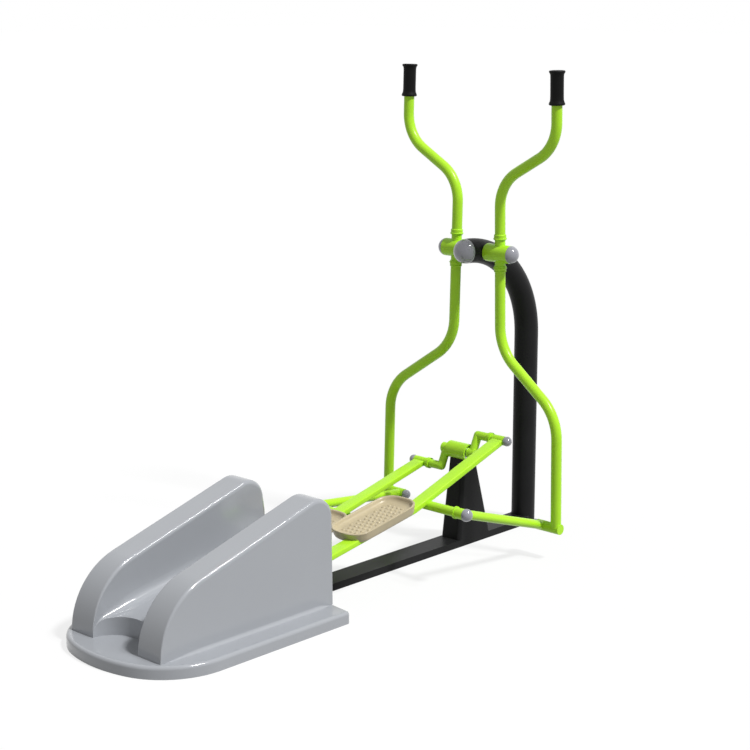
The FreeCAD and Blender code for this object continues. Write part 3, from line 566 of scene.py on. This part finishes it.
def housing_plan(bm, h):
    """The left half of the plan, as flat faces: step, fin, and the base beside, behind and before them."""
    s = h.sizes
    z = h.floor
    rear_centre = h.base_rear + s.rear_radius
    corner_y = h.half - s.corner_radius
    corner_x = rear_centre - math.sqrt((s.rear_radius - s.corner_radius) ** 2 - corner_y ** 2)
    lean = math.atan2(corner_y, rear_centre - corner_x)
    beside = math.acos((h.outer - corner_y) / s.corner_radius)
    feet = [bm.verts.new((h.front, y, z)) for y in (0, h.inner, h.outer)]
    front = [bm.verts.new((h.base_front, y, z)) for y in (0, h.outer)]
    corner_start = bm.verts.new((h.base_front, h.half - s.front_corner, z))
    front_corner = chain(bm, corner_start, (h.base_front - s.front_corner, h.half - s.front_corner, z),
                         QUARTER_TURN, FRONT_CORNER_STEPS)
    side = bm.verts.new((corner_x, h.half, z))
    corner = chain(bm, side, (corner_x, corner_y, z), beside, SIDE_CORNER_STEPS)
    turn = chain(bm, corner[-1], (corner_x, corner_y, z), QUARTER_TURN - lean - beside, REAR_CORNER_STEPS)
    rear = chain(bm, turn[-1], (rear_centre, 0, z), lean, REAR_STEPS)
    fin_rear = bm.verts.new((h.rear, h.outer, z))
    notch = chain(bm, bm.verts.new((h.rear, h.inner, z)), (h.rear, 0, z), -QUARTER_TURN, NOTCH_STEPS)
    for v in notch:
        v.co.x = h.rear + (v.co.x - h.rear) * s.notch_depth / h.inner
    rear[-1].co.y = 0
    notch[-1].co.y = 0
    bm.faces.new([feet[0], front[0], front[1], feet[2], feet[1]])
    beside_face = bm.faces.new([feet[2], front[1]] + front_corner + corner + [fin_rear])
    bm.faces.new(turn + rear[1:] + notch[::-1] + [fin_rear])
    step = bm.faces.new([feet[0], feet[1]] + notch)
    fin = bm.faces.new([feet[1], feet[2], fin_rear, notch[0]])
    step.material_index = STEP
    fin.material_index = FIN
    return step, fin, beside_face


def cut_plan(bm, h):
    """Cuts the plan where the raised surfaces will bend, and mirrors it."""
    s = h.sizes
    step, fin, beside_face = housing_plan(bm, h)
    arc = [math.sin(a) for a in spread(0, QUARTER_TURN, COVE_STEPS)[:-1]]
    columns = h.tail_columns() + h.nose_columns()
    cut_across(bm, [fin], ALONG, columns)
    strips = cut_across(bm, [step], ACROSS, [h.inner - s.step_cove * (1 - a) for a in arc])
    cut_across(bm, strips, ALONG, h.tail_columns())
    strips = cut_across(bm, [beside_face], ACROSS, [h.outer + s.foot_cove * (1 - a) for a in arc])
    low = [f for f in strips if f.calc_center_bounds().y < h.outer + s.foot_cove]
    cut_across(bm, low, ALONG, columns)
    bmesh.ops.mirror(bm, geom=bm.verts[:] + bm.edges[:] + bm.faces[:], axis="Y", merge_dist=TINY)
    tidy(bm)
    if sum(f.normal.z for f in bm.faces) < 0:
        bmesh.ops.reverse_faces(bm, faces=bm.faces)


def on_rim(v, h):
    """Whether a vertex is on the fins' top."""
    return is_at(v.co.z, h.fin_height(v.co.x))


def mark_rounds(bm, h):
    """Gives the rims and the base's edge their rounds as bevel weights, and keeps other corners sharp."""
    s = h.sizes
    weight = bm.edges.layers.float.new("bevel_weight_edge")
    for edge in bm.edges:
        width = 0
        ends = edge.verts
        lean = edge.calc_face_angle(0)
        on_side = all(is_at(abs(v.co.y), h.inner) or is_at(abs(v.co.y), h.outer) for v in ends)
        if lean > ROUND_LEAN and on_side and is_at(ends[0].co.y, ends[1].co.y):
            if all(on_rim(v, h) for v in ends):
                width = s.rim_round * h.tail_share((ends[0].co.x + ends[1].co.x) / 2)
            elif all(is_at(v.co.x, h.front) for v in ends) and is_at(abs(ends[0].co.y), h.outer):
                width = s.rim_round
        elif lean > ROUND_LEAN and all(is_at(v.co.z, h.floor) for v in ends):
            reaches_ground = any(min(v.co.z for v in f.verts) < TINY for f in edge.link_faces)
            if reaches_ground and edge.is_convex:
                width = s.base_round
        edge[weight] = width / s.rim_round
        edge.smooth = width > 0 or lean < SMOOTH_LEAN
    for f in bm.faces:
        f.smooth = True
        f.material_index = 0


def open_slot(bm, h, sign):
    """Cuts the bar's slot in a fin's front and hollows the fin behind it."""
    s = h.sizes
    centre = sign * (h.inner + h.outer) / 2
    faces = [f for f in bm.faces if f.normal.x > SQUARE_ON and is_at(f.calc_center_median().x, h.front)]
    faces = cut_across(bm, faces, ACROSS, [centre - s.slot_width / 2, centre + s.slot_width / 2])
    faces = [f for f in faces if abs(f.calc_center_median().y - centre) < s.slot_width / 4]
    faces = cut_across(bm, faces, UP, [s.slot_low, s.slot_high])
    hole = [f for f in faces if s.slot_low < f.calc_center_median().z < s.slot_high
            and abs(f.calc_center_median().y - centre) < s.slot_width / 4]
    reach = (h.outer - h.inner) / 2 - s.wall
    back = h.front - s.wall
    middle_z = (s.slot_low + s.slot_high) / 2
    stages = [(back, s.slot_width / 2, s.slot_low, s.slot_high)]
    stages.append((back, reach, h.floor, h.nose_z - HOLLOW_DROP))
    stages += [(h.rear + x, reach, h.floor, h.floor + height) for x, height in HOLLOW_TAIL]
    for x, half, low, high in stages:
        hole, verts = raise_faces(bm, hole)
        for v in verts:
            v.co.x = x
            v.co.y = centre + (half if v.co.y > centre else -half)
            v.co.z = high if v.co.z > middle_z else low
        middle_z = (low + high) / 2


def build_housing(sizes):
    """Raises the plan to base, step and fins, with the underside closed and the fins hollow."""
    h = Housing(sizes)
    bm = bmesh.new()
    cut_plan(bm, h)
    inside = [f for f in bm.faces if f.material_index != BASE]
    edge = bmesh.ops.extrude_edge_only(bm, edges=[e for e in bm.edges if e.is_boundary])["geom"]
    for v in only(VERT, edge):
        v.co.z = 0
    close_holes(bm)
    raised, verts = raise_faces(bm, inside)
    for v in bm.verts:
        if is_at(v.co.z, h.floor) and h.outer - TINY < abs(v.co.y) and h.rear < v.co.x < h.front:
            v.co.z = h.foot_height(v.co.x, v.co.y)
    for v in verts:
        v.co.z = h.step_height(v.co.x, v.co.y)
    fins = [f for f in raised if f.material_index == FIN]
    verts = raise_faces(bm, fins)[1]
    for v in verts:
        v.co.z = h.fin_height(v.co.x)
    tidy(bm)
    bmesh.ops.dissolve_limit(bm, angle_limit=FLAT_LEAN, use_dissolve_boundaries=False,
                             verts=bm.verts, edges=bm.edges)
    bm.normal_update()
    mark_rounds(bm, h)
    for sign in (1, -1):
        open_slot(bm, h, sign)
    bmesh.ops.recalc_face_normals(bm, faces=bm.faces)
    return bm


class TRAINER_OT_housing(bpy.types.Operator):
    """Moulds the base, step and fins as one seamless shell"""

    bl_idname = "trainer.housing"
    bl_label = "Housing"

    def execute(self, context):
        sizes = context.scene.trainer.housing
        shell = as_piece(build_housing(sizes), "housing_shell", "housing_grey", "frame",
                         ("base_plate", "step_ramp", "left_guard", "right_guard"))
        rounds = shell.modifiers.new("rounds", "BEVEL")
        rounds.limit_method = "WEIGHT"
        rounds.offset_type = "OFFSET"
        rounds.width = sizes.rim_round
        rounds.segments = ROUND_STEPS
        rounds.use_clamp_overlap = False
        normals = shell.modifiers.new("normals", "WEIGHTED_NORMAL")
        normals.keep_sharp = True
        return {"FINISHED"}


# Bars and foot trays


# How finely the bars and trays are drawn, in steps.
BAR_CORNER_STEPS = 4
BAR_BEND_STEPS = 6
SLEEVE_STEPS = 32
TRAY_CORNER_STEPS = 6
STUD_STEPS, STUD_RINGS = 12, 8
# In degrees, the lean from which an edge of a bar, a bead or a moulding stays sharp.
BAR_SHARP = 35
BEAD_SHARP = 60
MOULDING_SHARP = 80
# The subdivision levels of the mouldings.
TRAY_LEVELS = 2
GRIP_LEVELS = 1
# A tray's section from its underside over the rim to its floor, in millimetres: how far the outline is drawn
# in, what its height is measured from, and how far it is above that.
TRAY_SECTION = (
    (18, "skirt", 0), (9, "skirt", 2.5), (5, "skirt", 10),
    (2.5, "rim", -10), (0.4, "rim", -4), (1.2, "rim", -0.4), (5.5, "rim", 0), (9, "rim", -3), (11, "rim", -9),
    (14.5, "floor", 5), (23, "floor", 0.4), (30, "floor", 0),
)
# How far behind the toe a tray's rim starts to fall, over which length, and from which height over the floor.
TOE_LENGTH = 30 * MM
TOE_RUN = 80 * MM
RIM_START = 2 * MM
# How far the studs' middles are sunk in the floor.
STUD_SINK = 0.6 * MM


def bar_frame(side):
    """A bar's own frame: X from its rear axle to its front sleeve."""
    axle = middle(side + "_rear_axle")
    return along_frame(axle, middle(side + "_bar_front_sleeve") - axle)


def rear_run_frame(side, sizes):
    """The frame of a bar's run behind its bend: X from its rear axle to the bend."""
    own = bar_frame(side)
    return along_frame(own.translation, own.to_3x3() @ Vector((sizes.bend_at, 0, -sizes.bend_drop)))


def run_on(bm, edges, step):
    """Extrudes a loop of edges by a step and gives the new loop."""
    made = bmesh.ops.extrude_edge_only(bm, edges=edges)["geom"]
    bmesh.ops.translate(bm, verts=only(VERT, made), vec=step)
    return only(EDGE, made)


def build_bar(side, sizes):
    """A flat tube with round edges, bent once, with the sleeve of its rear axle."""
    bm = bmesh.new()
    half_y, half_z = sizes.bar_width / 2, sizes.bar_height / 2
    corners = [(0, -half_y, -half_z), (0, half_y, -half_z), (0, half_y, half_z), (0, -half_y, half_z)]
    loop = rounded_face(bm, corners, sizes.bar_corner, BAR_CORNER_STEPS).edges[:]
    bmesh.ops.delete(bm, geom=bm.faces[:], context="FACES_ONLY")
    length = (middle(side + "_bar_front_sleeve") - middle(side + "_rear_axle")).length
    rear = Vector((sizes.bend_at, 0, -sizes.bend_drop))
    fore = Vector((length - sizes.bend_at, 0, sizes.bend_drop))
    turn = rear.angle(fore)
    trim = sizes.bend_radius * math.tan(turn / 2)
    loop = run_on(bm, loop, ALONG * (rear.length - trim))
    ring = list({v for e in loop for v in e.verts})
    bent = bmesh.ops.spin(bm, geom=loop + ring, cent=(rear.length - trim, 0, sizes.bend_radius), axis=-ACROSS,
                          angle=turn, steps=BAR_BEND_STEPS)
    heading = Vector((math.cos(turn), 0, math.sin(turn)))
    run_on(bm, only(EDGE, bent["geom_last"]), heading * (fore.length - trim - sizes.bar_height / 2))
    close_holes(bm)
    tube = [(sizes.sleeve_bore, -half_y), (sizes.sleeve_radius, -half_y), (sizes.sleeve_radius, half_y),
            (sizes.sleeve_bore, half_y)]
    sleeve = spun(bm, tube, SLEEVE_STEPS, closed=True)
    bmesh.ops.rotate(bm, verts=sleeve, cent=(0, 0, 0), matrix=Matrix.Rotation(QUARTER_TURN, 3, "X"))
    tidy(bm)
    return bm


class TRAINER_OT_bars(bpy.types.Operator):
    """Bends the two flat bars that carry the foot trays"""

    bl_idname = "trainer.bars"
    bl_label = "Bars"

    def execute(self, context):
        sizes = context.scene.trainer.pedals
        for side, _ in SIDES:
            bar = side + "_bar"
            place = rear_run_frame(side, sizes)
            as_piece(build_bar(side, sizes), bar + "_tube", "lime_paint", bar, (bar,), BAR_SHARP, place)
        return {"FINISHED"}


def tray_frame(side, sign, sizes):
    """A foot tray's frame: its middle on the bar's top, X forwards."""
    run = math.hypot(sizes.bend_at, sizes.bend_drop)
    place = Vector((run + sizes.lead - sizes.length / 2, -sign * sizes.inset, sizes.bar_height / 2))
    return rear_run_frame(side, sizes) @ Matrix.Translation(place)


def build_tray(sizes):
    """A boat-shaped tray with a flared rim, higher at the toe, and a skirt that the bar runs into."""
    bm = bmesh.new()
    levels = {"skirt": -sizes.skirt, "rim": sizes.height, "floor": sizes.floor}
    stages = [(inset * MM, levels[level] + rise * MM) for inset, level, rise in TRAY_SECTION]
    inset, low = stages[0]
    half_x, half_y = sizes.length / 2 - inset, sizes.width / 2 - inset
    corners = [(-half_x, -half_y, low), (half_x, -half_y, low), (half_x, half_y, low), (-half_x, half_y, low)]
    face = rounded_face(bm, corners, sizes.corner - inset, TRAY_CORNER_STEPS)
    for inset, z in stages[1:]:
        faces, verts = raise_faces(bm, [face])
        face = faces[0]
        new_x, new_y = sizes.length / 2 - inset, sizes.width / 2 - inset
        for v in verts:
            v.co = (v.co.x * new_x / half_x, v.co.y * new_y / half_y, z)
        half_x, half_y = new_x, new_y
    close_holes(bm)
    tidy(bm)
    fall_start = sizes.length / 2 - TOE_LENGTH
    for v in bm.verts:
        behind = min(1, max(0, (fall_start - v.co.x) / TOE_RUN))
        share = max(0, (v.co.z - sizes.floor - RIM_START) / (sizes.height - sizes.floor))
        v.co.z -= sizes.side_drop * share * behind * behind * (3 - 2 * behind)
    return bm


def build_studs(sizes):
    """Low domes on a tray's floor, every other column set over by half a pitch."""
    bm = bmesh.new()
    for column in range(sizes.stud_columns):
        for row in range(sizes.stud_rows - column % 2):
            x = (column - (sizes.stud_columns - 1) / 2) * sizes.stud_pitch
            y = (row - (sizes.stud_rows - 1 - column % 2) / 2) * sizes.stud_pitch
            place = Matrix.Translation((x, y, sizes.floor - STUD_SINK))
            flat = Matrix.Diagonal((1, 1, (sizes.stud_height + STUD_SINK) / sizes.stud_radius, 1))
            bmesh.ops.create_uvsphere(bm, u_segments=STUD_STEPS, v_segments=STUD_RINGS,
                                      radius=sizes.stud_radius, matrix=place @ flat)
    return bm


class TRAINER_OT_trays(bpy.types.Operator):
    """Moulds the two foot trays and their studs"""

    bl_idname = "trainer.trays"
    bl_label = "Foot trays"

    def execute(self, context):
        sizes = context.scene.trainer.pedals
        for side, sign in SIDES:
            place = tray_frame(side, sign, sizes)
            bar, name = side + "_bar", side + "_tray"
            replaced = (side + "_pedal", side + "_pedal_bolts")
            tray = as_piece(build_tray(sizes), name, "pedal_beige", bar, replaced, MOULDING_SHARP, place)
            soften(tray, TRAY_LEVELS)
            as_piece(build_studs(sizes), name + "_studs", "pedal_beige", bar, (), MOULDING_SHARP, place)
        return {"FINISHED"}


# Grips and collars


# A grip's section from the end of its bore round to its top, in millimetres: which radius and what is added,
# then which height and what is added.
GRIP_SECTION = (
    ("axis", 0, "bore_end", 0), ("bore", -1, "bore_end", 0), ("bore", 0, "bore_end", -2),
    ("bore", 0, "bottom", 2), ("bore", 0.5, "bottom", 0),
    ("flange", -3, "bottom", 0), ("flange", 0.4, "bottom", 3), ("flange", -0.6, "bottom", 7),
    ("waist", 1.8, "bottom", 12.5), ("waist", 0.3, "bottom", 18), ("waist", 0, "bottom", 30),
    ("waist", 0, "middle", 0),
    ("waist", 0, "top", -24), ("waist", 0.3, "top", -14), ("waist", 1.5, "top", -10.5),
    ("flange", -0.6, "top", -7), ("flange", 0, "top", -3), ("flange", -2, "top", -0.4),
    ("flange", -10, "top", 0), ("axis", 0, "top", 0),
)
# How far from a grip's bottom and top its flutes stop.
FLUTE_BOTTOM = 16 * MM
FLUTE_TOP = 12 * MM
# A bead's section in steps, the share that every other ring is drawn in to, and the beads' steps round.
BEAD_SECTION_STEPS = 10
BEAD_RIPPLE = 0.9
HUB_BEAD_STEPS = 64
POST_WELD_STEPS = 40
# The part of the post's round that the beam butts against.
POST_WELD_START = math.radians(112)
POST_WELD_SWEEP = math.radians(136)


def handle_frame(side, sign, sizes):
    """A handle's frame: at its arms' root on the pivot, Z up along the arms, X forwards."""
    pivot = middle("pivot_shaft")
    up = middle(side + "_grip") - pivot
    forwards = Vector((up.z, 0, -up.x))
    return along_frame(Vector((pivot.x, sign * sizes.arm_y, pivot.z)), forwards)


def build_grip(sizes):
    """A spool with rounded flanges, a fluted waist and a blind bore for the arm, drawn about its middle."""
    bm = bmesh.new()
    half = sizes.grip_length / 2
    radii = {"axis": 0, "bore": sizes.arm_radius, "waist": sizes.grip_radius, "flange": sizes.flange_radius}
    heights = {"bottom": -half, "middle": 0, "bore_end": half - sizes.grip_top, "top": half}
    profile = [(radii[radius] + out * MM, heights[height] + up * MM)
               for radius, out, height, up in GRIP_SECTION]
    spun(bm, profile, 2 * sizes.flutes)
    step = FULL_TURN / (2 * sizes.flutes)
    shrink = 1 - sizes.flute_depth / sizes.grip_radius
    for v in bm.verts:
        column = round(math.atan2(v.co.y, v.co.x) / step)
        if column % 2 and -half + FLUTE_BOTTOM < v.co.z < half - FLUTE_TOP:
            v.co.x *= shrink
            v.co.y *= shrink
    tidy(bm)
    return bm


def bead(bm, height, radius, thickness, start, sweep, steps):
    """A run bead: a small circle spun about Z at a height, with every other ring drawn in a little."""
    before = set(bm.verts)
    upright = Matrix.Translation((radius, 0, 0)) @ Matrix.Rotation(QUARTER_TURN, 4, "X")
    stand = Matrix.Rotation(start, 4, "Z") @ upright
    ring = bmesh.ops.create_circle(bm, segments=BEAD_SECTION_STEPS, radius=thickness, matrix=stand)["verts"]
    edges = list({e for v in ring for e in v.link_edges})
    whole = is_at(sweep, FULL_TURN)
    bmesh.ops.spin(bm, geom=ring + edges, cent=(0, 0, 0), axis=UP, angle=sweep, steps=steps, use_merge=whole)
    made = [v for v in bm.verts if v not in before]
    for v in made:
        turn = math.atan2(v.co.y, v.co.x)
        core = Vector((radius * math.cos(turn), radius * math.sin(turn), 0))
        if round((turn - start) / (sweep / steps)) % 2:
            v.co = core + (v.co - core) * BEAD_RIPPLE
    close_holes(bm)
    bmesh.ops.translate(bm, verts=made, vec=UP * height)


class TRAINER_OT_grips(bpy.types.Operator):
    """Moulds the two hand grips"""

    bl_idname = "trainer.grips"
    bl_label = "Grips"

    def execute(self, context):
        sizes = context.scene.trainer.handles
        for side, sign in SIDES:
            place = handle_frame(side, sign, sizes)
            place.translation = middle(side + "_grip")
            grip = as_piece(build_grip(sizes), side + "_hand_grip", "grip_rubber", side + "_handle",
                            (side + "_grip",), MOULDING_SHARP, place)
            soften(grip, GRIP_LEVELS)
        return {"FINISHED"}


class TRAINER_OT_welds(bpy.types.Operator):
    """Runs the beads round the hubs' sockets and where the beam meets the post"""

    bl_idname = "trainer.welds"
    bl_label = "Welds"

    def execute(self, context):
        sizes = context.scene.trainer.handles
        for side, sign in SIDES:
            bm = bmesh.new()
            for height, inwards in ((sizes.upper_collar, -1), (-sizes.lower_collar, 1)):
                inner = height + inwards * sizes.collar_gap
                bead(bm, height, sizes.arm_radius, sizes.collar_bead, 0, FULL_TURN, HUB_BEAD_STEPS)
                bead(bm, inner, sizes.socket_radius, sizes.socket_bead, 0, FULL_TURN, HUB_BEAD_STEPS)
            tidy(bm)
            as_piece(bm, side + "_hub_beads", "lime_paint", side + "_handle", (), BEAD_SHARP,
                     handle_frame(side, sign, sizes))
        bm = bmesh.new()
        low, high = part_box("post")
        radius = (high.y - low.y) / 2
        foot = Vector((high.x - radius, 0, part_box("base_beam")[1].z))
        bead(bm, 0, radius, sizes.weld_bead, POST_WELD_START, POST_WELD_SWEEP, POST_WELD_STEPS)
        tidy(bm)
        as_piece(bm, "post_weld", "black_paint", "frame", (), BEAD_SHARP, Matrix.Translation(foot))
        return {"FINISHED"}


class TRAINER_OT_finishes(bpy.types.Operator):
    """Gives every CAD node that still shows the finish of its material slot"""

    bl_idname = "trainer.finishes"
    bl_label = "Finishes"

    def execute(self, context):
        MATERIALS.update(make_materials(context.scene.trainer.colours))
        for part in frame["record"]["subparts"]:
            mesh = frame["nodes"][part["node"]].data
            mesh.materials.clear()
            mesh.materials.append(MATERIALS[part["material_slot"]])
        return {"FINISHED"}


# Stage


# The key comes from the right and above, and the edge lamp from further round the front.
KEY_AIM = Vector((-0.157, 0.7, -1))
EDGE_AIM = Vector((-0.3, 0.5, -0.81))
# In metres. The floor is a hair under the ground, so that it doesn't share a plane with what stands on it.
FLOOR_HALF = 60
FLOOR_DROP = 0.5 * MM
FAR_CLIP = 200
# In millimetres.
SENSOR_WIDTH = 36


def seen_rays(tree):
    """One for rays from the camera, a mirror or glass, and zero for light that falls on surfaces."""
    path = node(tree, "ShaderNodeLightPath")
    first = node(tree, "ShaderNodeMath", {0: path.outputs["Is Camera Ray"], 1: path.outputs["Is Glossy Ray"]},
                 operation="MAXIMUM")
    return node(tree, "ShaderNodeMath", {0: first.outputs[0], 1: path.outputs["Is Transmission Ray"]},
                operation="MAXIMUM").outputs[0]


def looking(aim):
    """The turn that points a lamp or a camera along a direction."""
    return aim.to_track_quat("-Z", "Y").to_matrix().to_4x4()


class TRAINER_OT_stage(bpy.types.Operator):
    """Sets the floor, the lamps, the sky and the camera"""

    bl_idname = "trainer.stage"
    bl_label = "Stage"

    def execute(self, context):
        stage = context.scene.trainer.stage
        context.scene.view_settings.view_transform = "Standard"
        self.make_floor(stage)
        self.make_sky(stage)
        self.make_lamp("key", stage.key_strength, stage.key_angle, KEY_AIM)
        self.make_lamp("edge", stage.edge_strength, stage.edge_angle, EDGE_AIM)
        self.make_camera(stage)
        return {"FINISHED"}

    def make_floor(self, stage):
        bm = bmesh.new()
        bmesh.ops.create_grid(bm, x_segments=1, y_segments=1, size=FLOOR_HALF)
        bmesh.ops.translate(bm, verts=bm.verts, vec=(0, 0, -FLOOR_DROP))
        mesh = mesh_of(bm, "floor")
        floor = add_object("floor", mesh)
        paper = bpy.data.materials.new("white_paper")
        tree = empty_tree(paper)
        seen = seen_rays(tree)
        tone = node(tree, "ShaderNodeMapRange", {
            "Value": seen, "To Min": stage.floor_bounce, "To Max": stage.floor_seen})
        plain = node(tree, "ShaderNodeBsdfDiffuse", {"Color": tone.outputs["Result"]})
        glow = node(tree, "ShaderNodeEmission", {"Strength": 1.0})
        share = node(tree, "ShaderNodeMath", {0: seen, 1: stage.floor_glow}, operation="MULTIPLY")
        mix = node(tree, "ShaderNodeMixShader", {
            0: share.outputs[0], 1: plain.outputs[0], 2: glow.outputs[0]})
        node(tree, "ShaderNodeOutputMaterial", {"Surface": mix.outputs[0]})
        mesh.materials.append(paper)

    def make_sky(self, stage):
        world = bpy.data.worlds.new("studio")
        bpy.context.scene.world = world
        tree = empty_tree(world)
        seen = seen_rays(tree)
        strength = node(tree, "ShaderNodeMapRange", {"Value": seen, "To Min": stage.sky, "To Max": 1.0})
        sky = node(tree, "ShaderNodeBackground", {
            "Color": (1, 1, 1, 1), "Strength": strength.outputs["Result"]})
        node(tree, "ShaderNodeOutputWorld", {"Surface": sky.outputs[0]})

    def make_lamp(self, name, strength, angle, aim):
        lamp = bpy.data.lights.new(name, "SUN")
        lamp.energy = strength
        lamp.angle = angle
        add_object(name, lamp).matrix_world = looking(aim)

    def make_camera(self, stage):
        camera = bpy.data.cameras.new("camera")
        camera.sensor_width = SENSOR_WIDTH
        camera.lens = stage.lens
        camera.clip_end = FAR_CLIP
        low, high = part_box("post")
        post_axis = high.x - (high.y - low.y) / 2
        place = Vector((post_axis - stage.behind_post, -stage.beside, stage.above))
        level = math.cos(stage.dip)
        aim = Vector((math.cos(stage.heading) * level, math.sin(stage.heading) * level, -math.sin(stage.dip)))
        holder = add_object("camera", camera)
        holder.matrix_world = Matrix.Translation(place) @ looking(aim)
        bpy.context.scene.camera = holder


class TRAINER_PT_sidebar(bpy.types.Panel):
    """Lists the trainer's steps and sizes"""

    bl_idname = "TRAINER_PT_sidebar"
    bl_label = "Trainer"
    bl_space_type = "VIEW_3D"
    bl_region_type = "UI"
    bl_category = "Trainer"

    def draw(self, context):
        settings = context.scene.trainer
        for step in STEPS:
            self.layout.operator(step.bl_idname)
        for group in (settings.colours, settings.housing, settings.pedals, settings.handles, settings.stage):
            box = self.layout.box()
            for key in group.__annotations__:
                box.prop(group, key)


GROUPS = (TrainerColours, HousingSizes, PedalSizes, HandleSizes, StageSettings, TrainerSettings)
STEPS = (TRAINER_OT_finishes, TRAINER_OT_housing, TRAINER_OT_bars, TRAINER_OT_trays, TRAINER_OT_grips,
         TRAINER_OT_welds, TRAINER_OT_stage)


def register():
    for kind in GROUPS + STEPS + (TRAINER_PT_sidebar,):
        bpy.utils.register_class(kind)
    bpy.types.Scene.trainer = PointerProperty(type=TrainerSettings)


def unregister():
    del bpy.types.Scene.trainer
    for kind in reversed(GROUPS + STEPS + (TRAINER_PT_sidebar,)):
        bpy.utils.unregister_class(kind)


def main():
    register()
    bpy.ops.trainer.finishes()
    bpy.ops.trainer.housing()
    bpy.ops.trainer.bars()
    bpy.ops.trainer.trays()
    bpy.ops.trainer.grips()
    bpy.ops.trainer.welds()
    bpy.ops.trainer.stage()


if __name__ == "__main__":
    main()
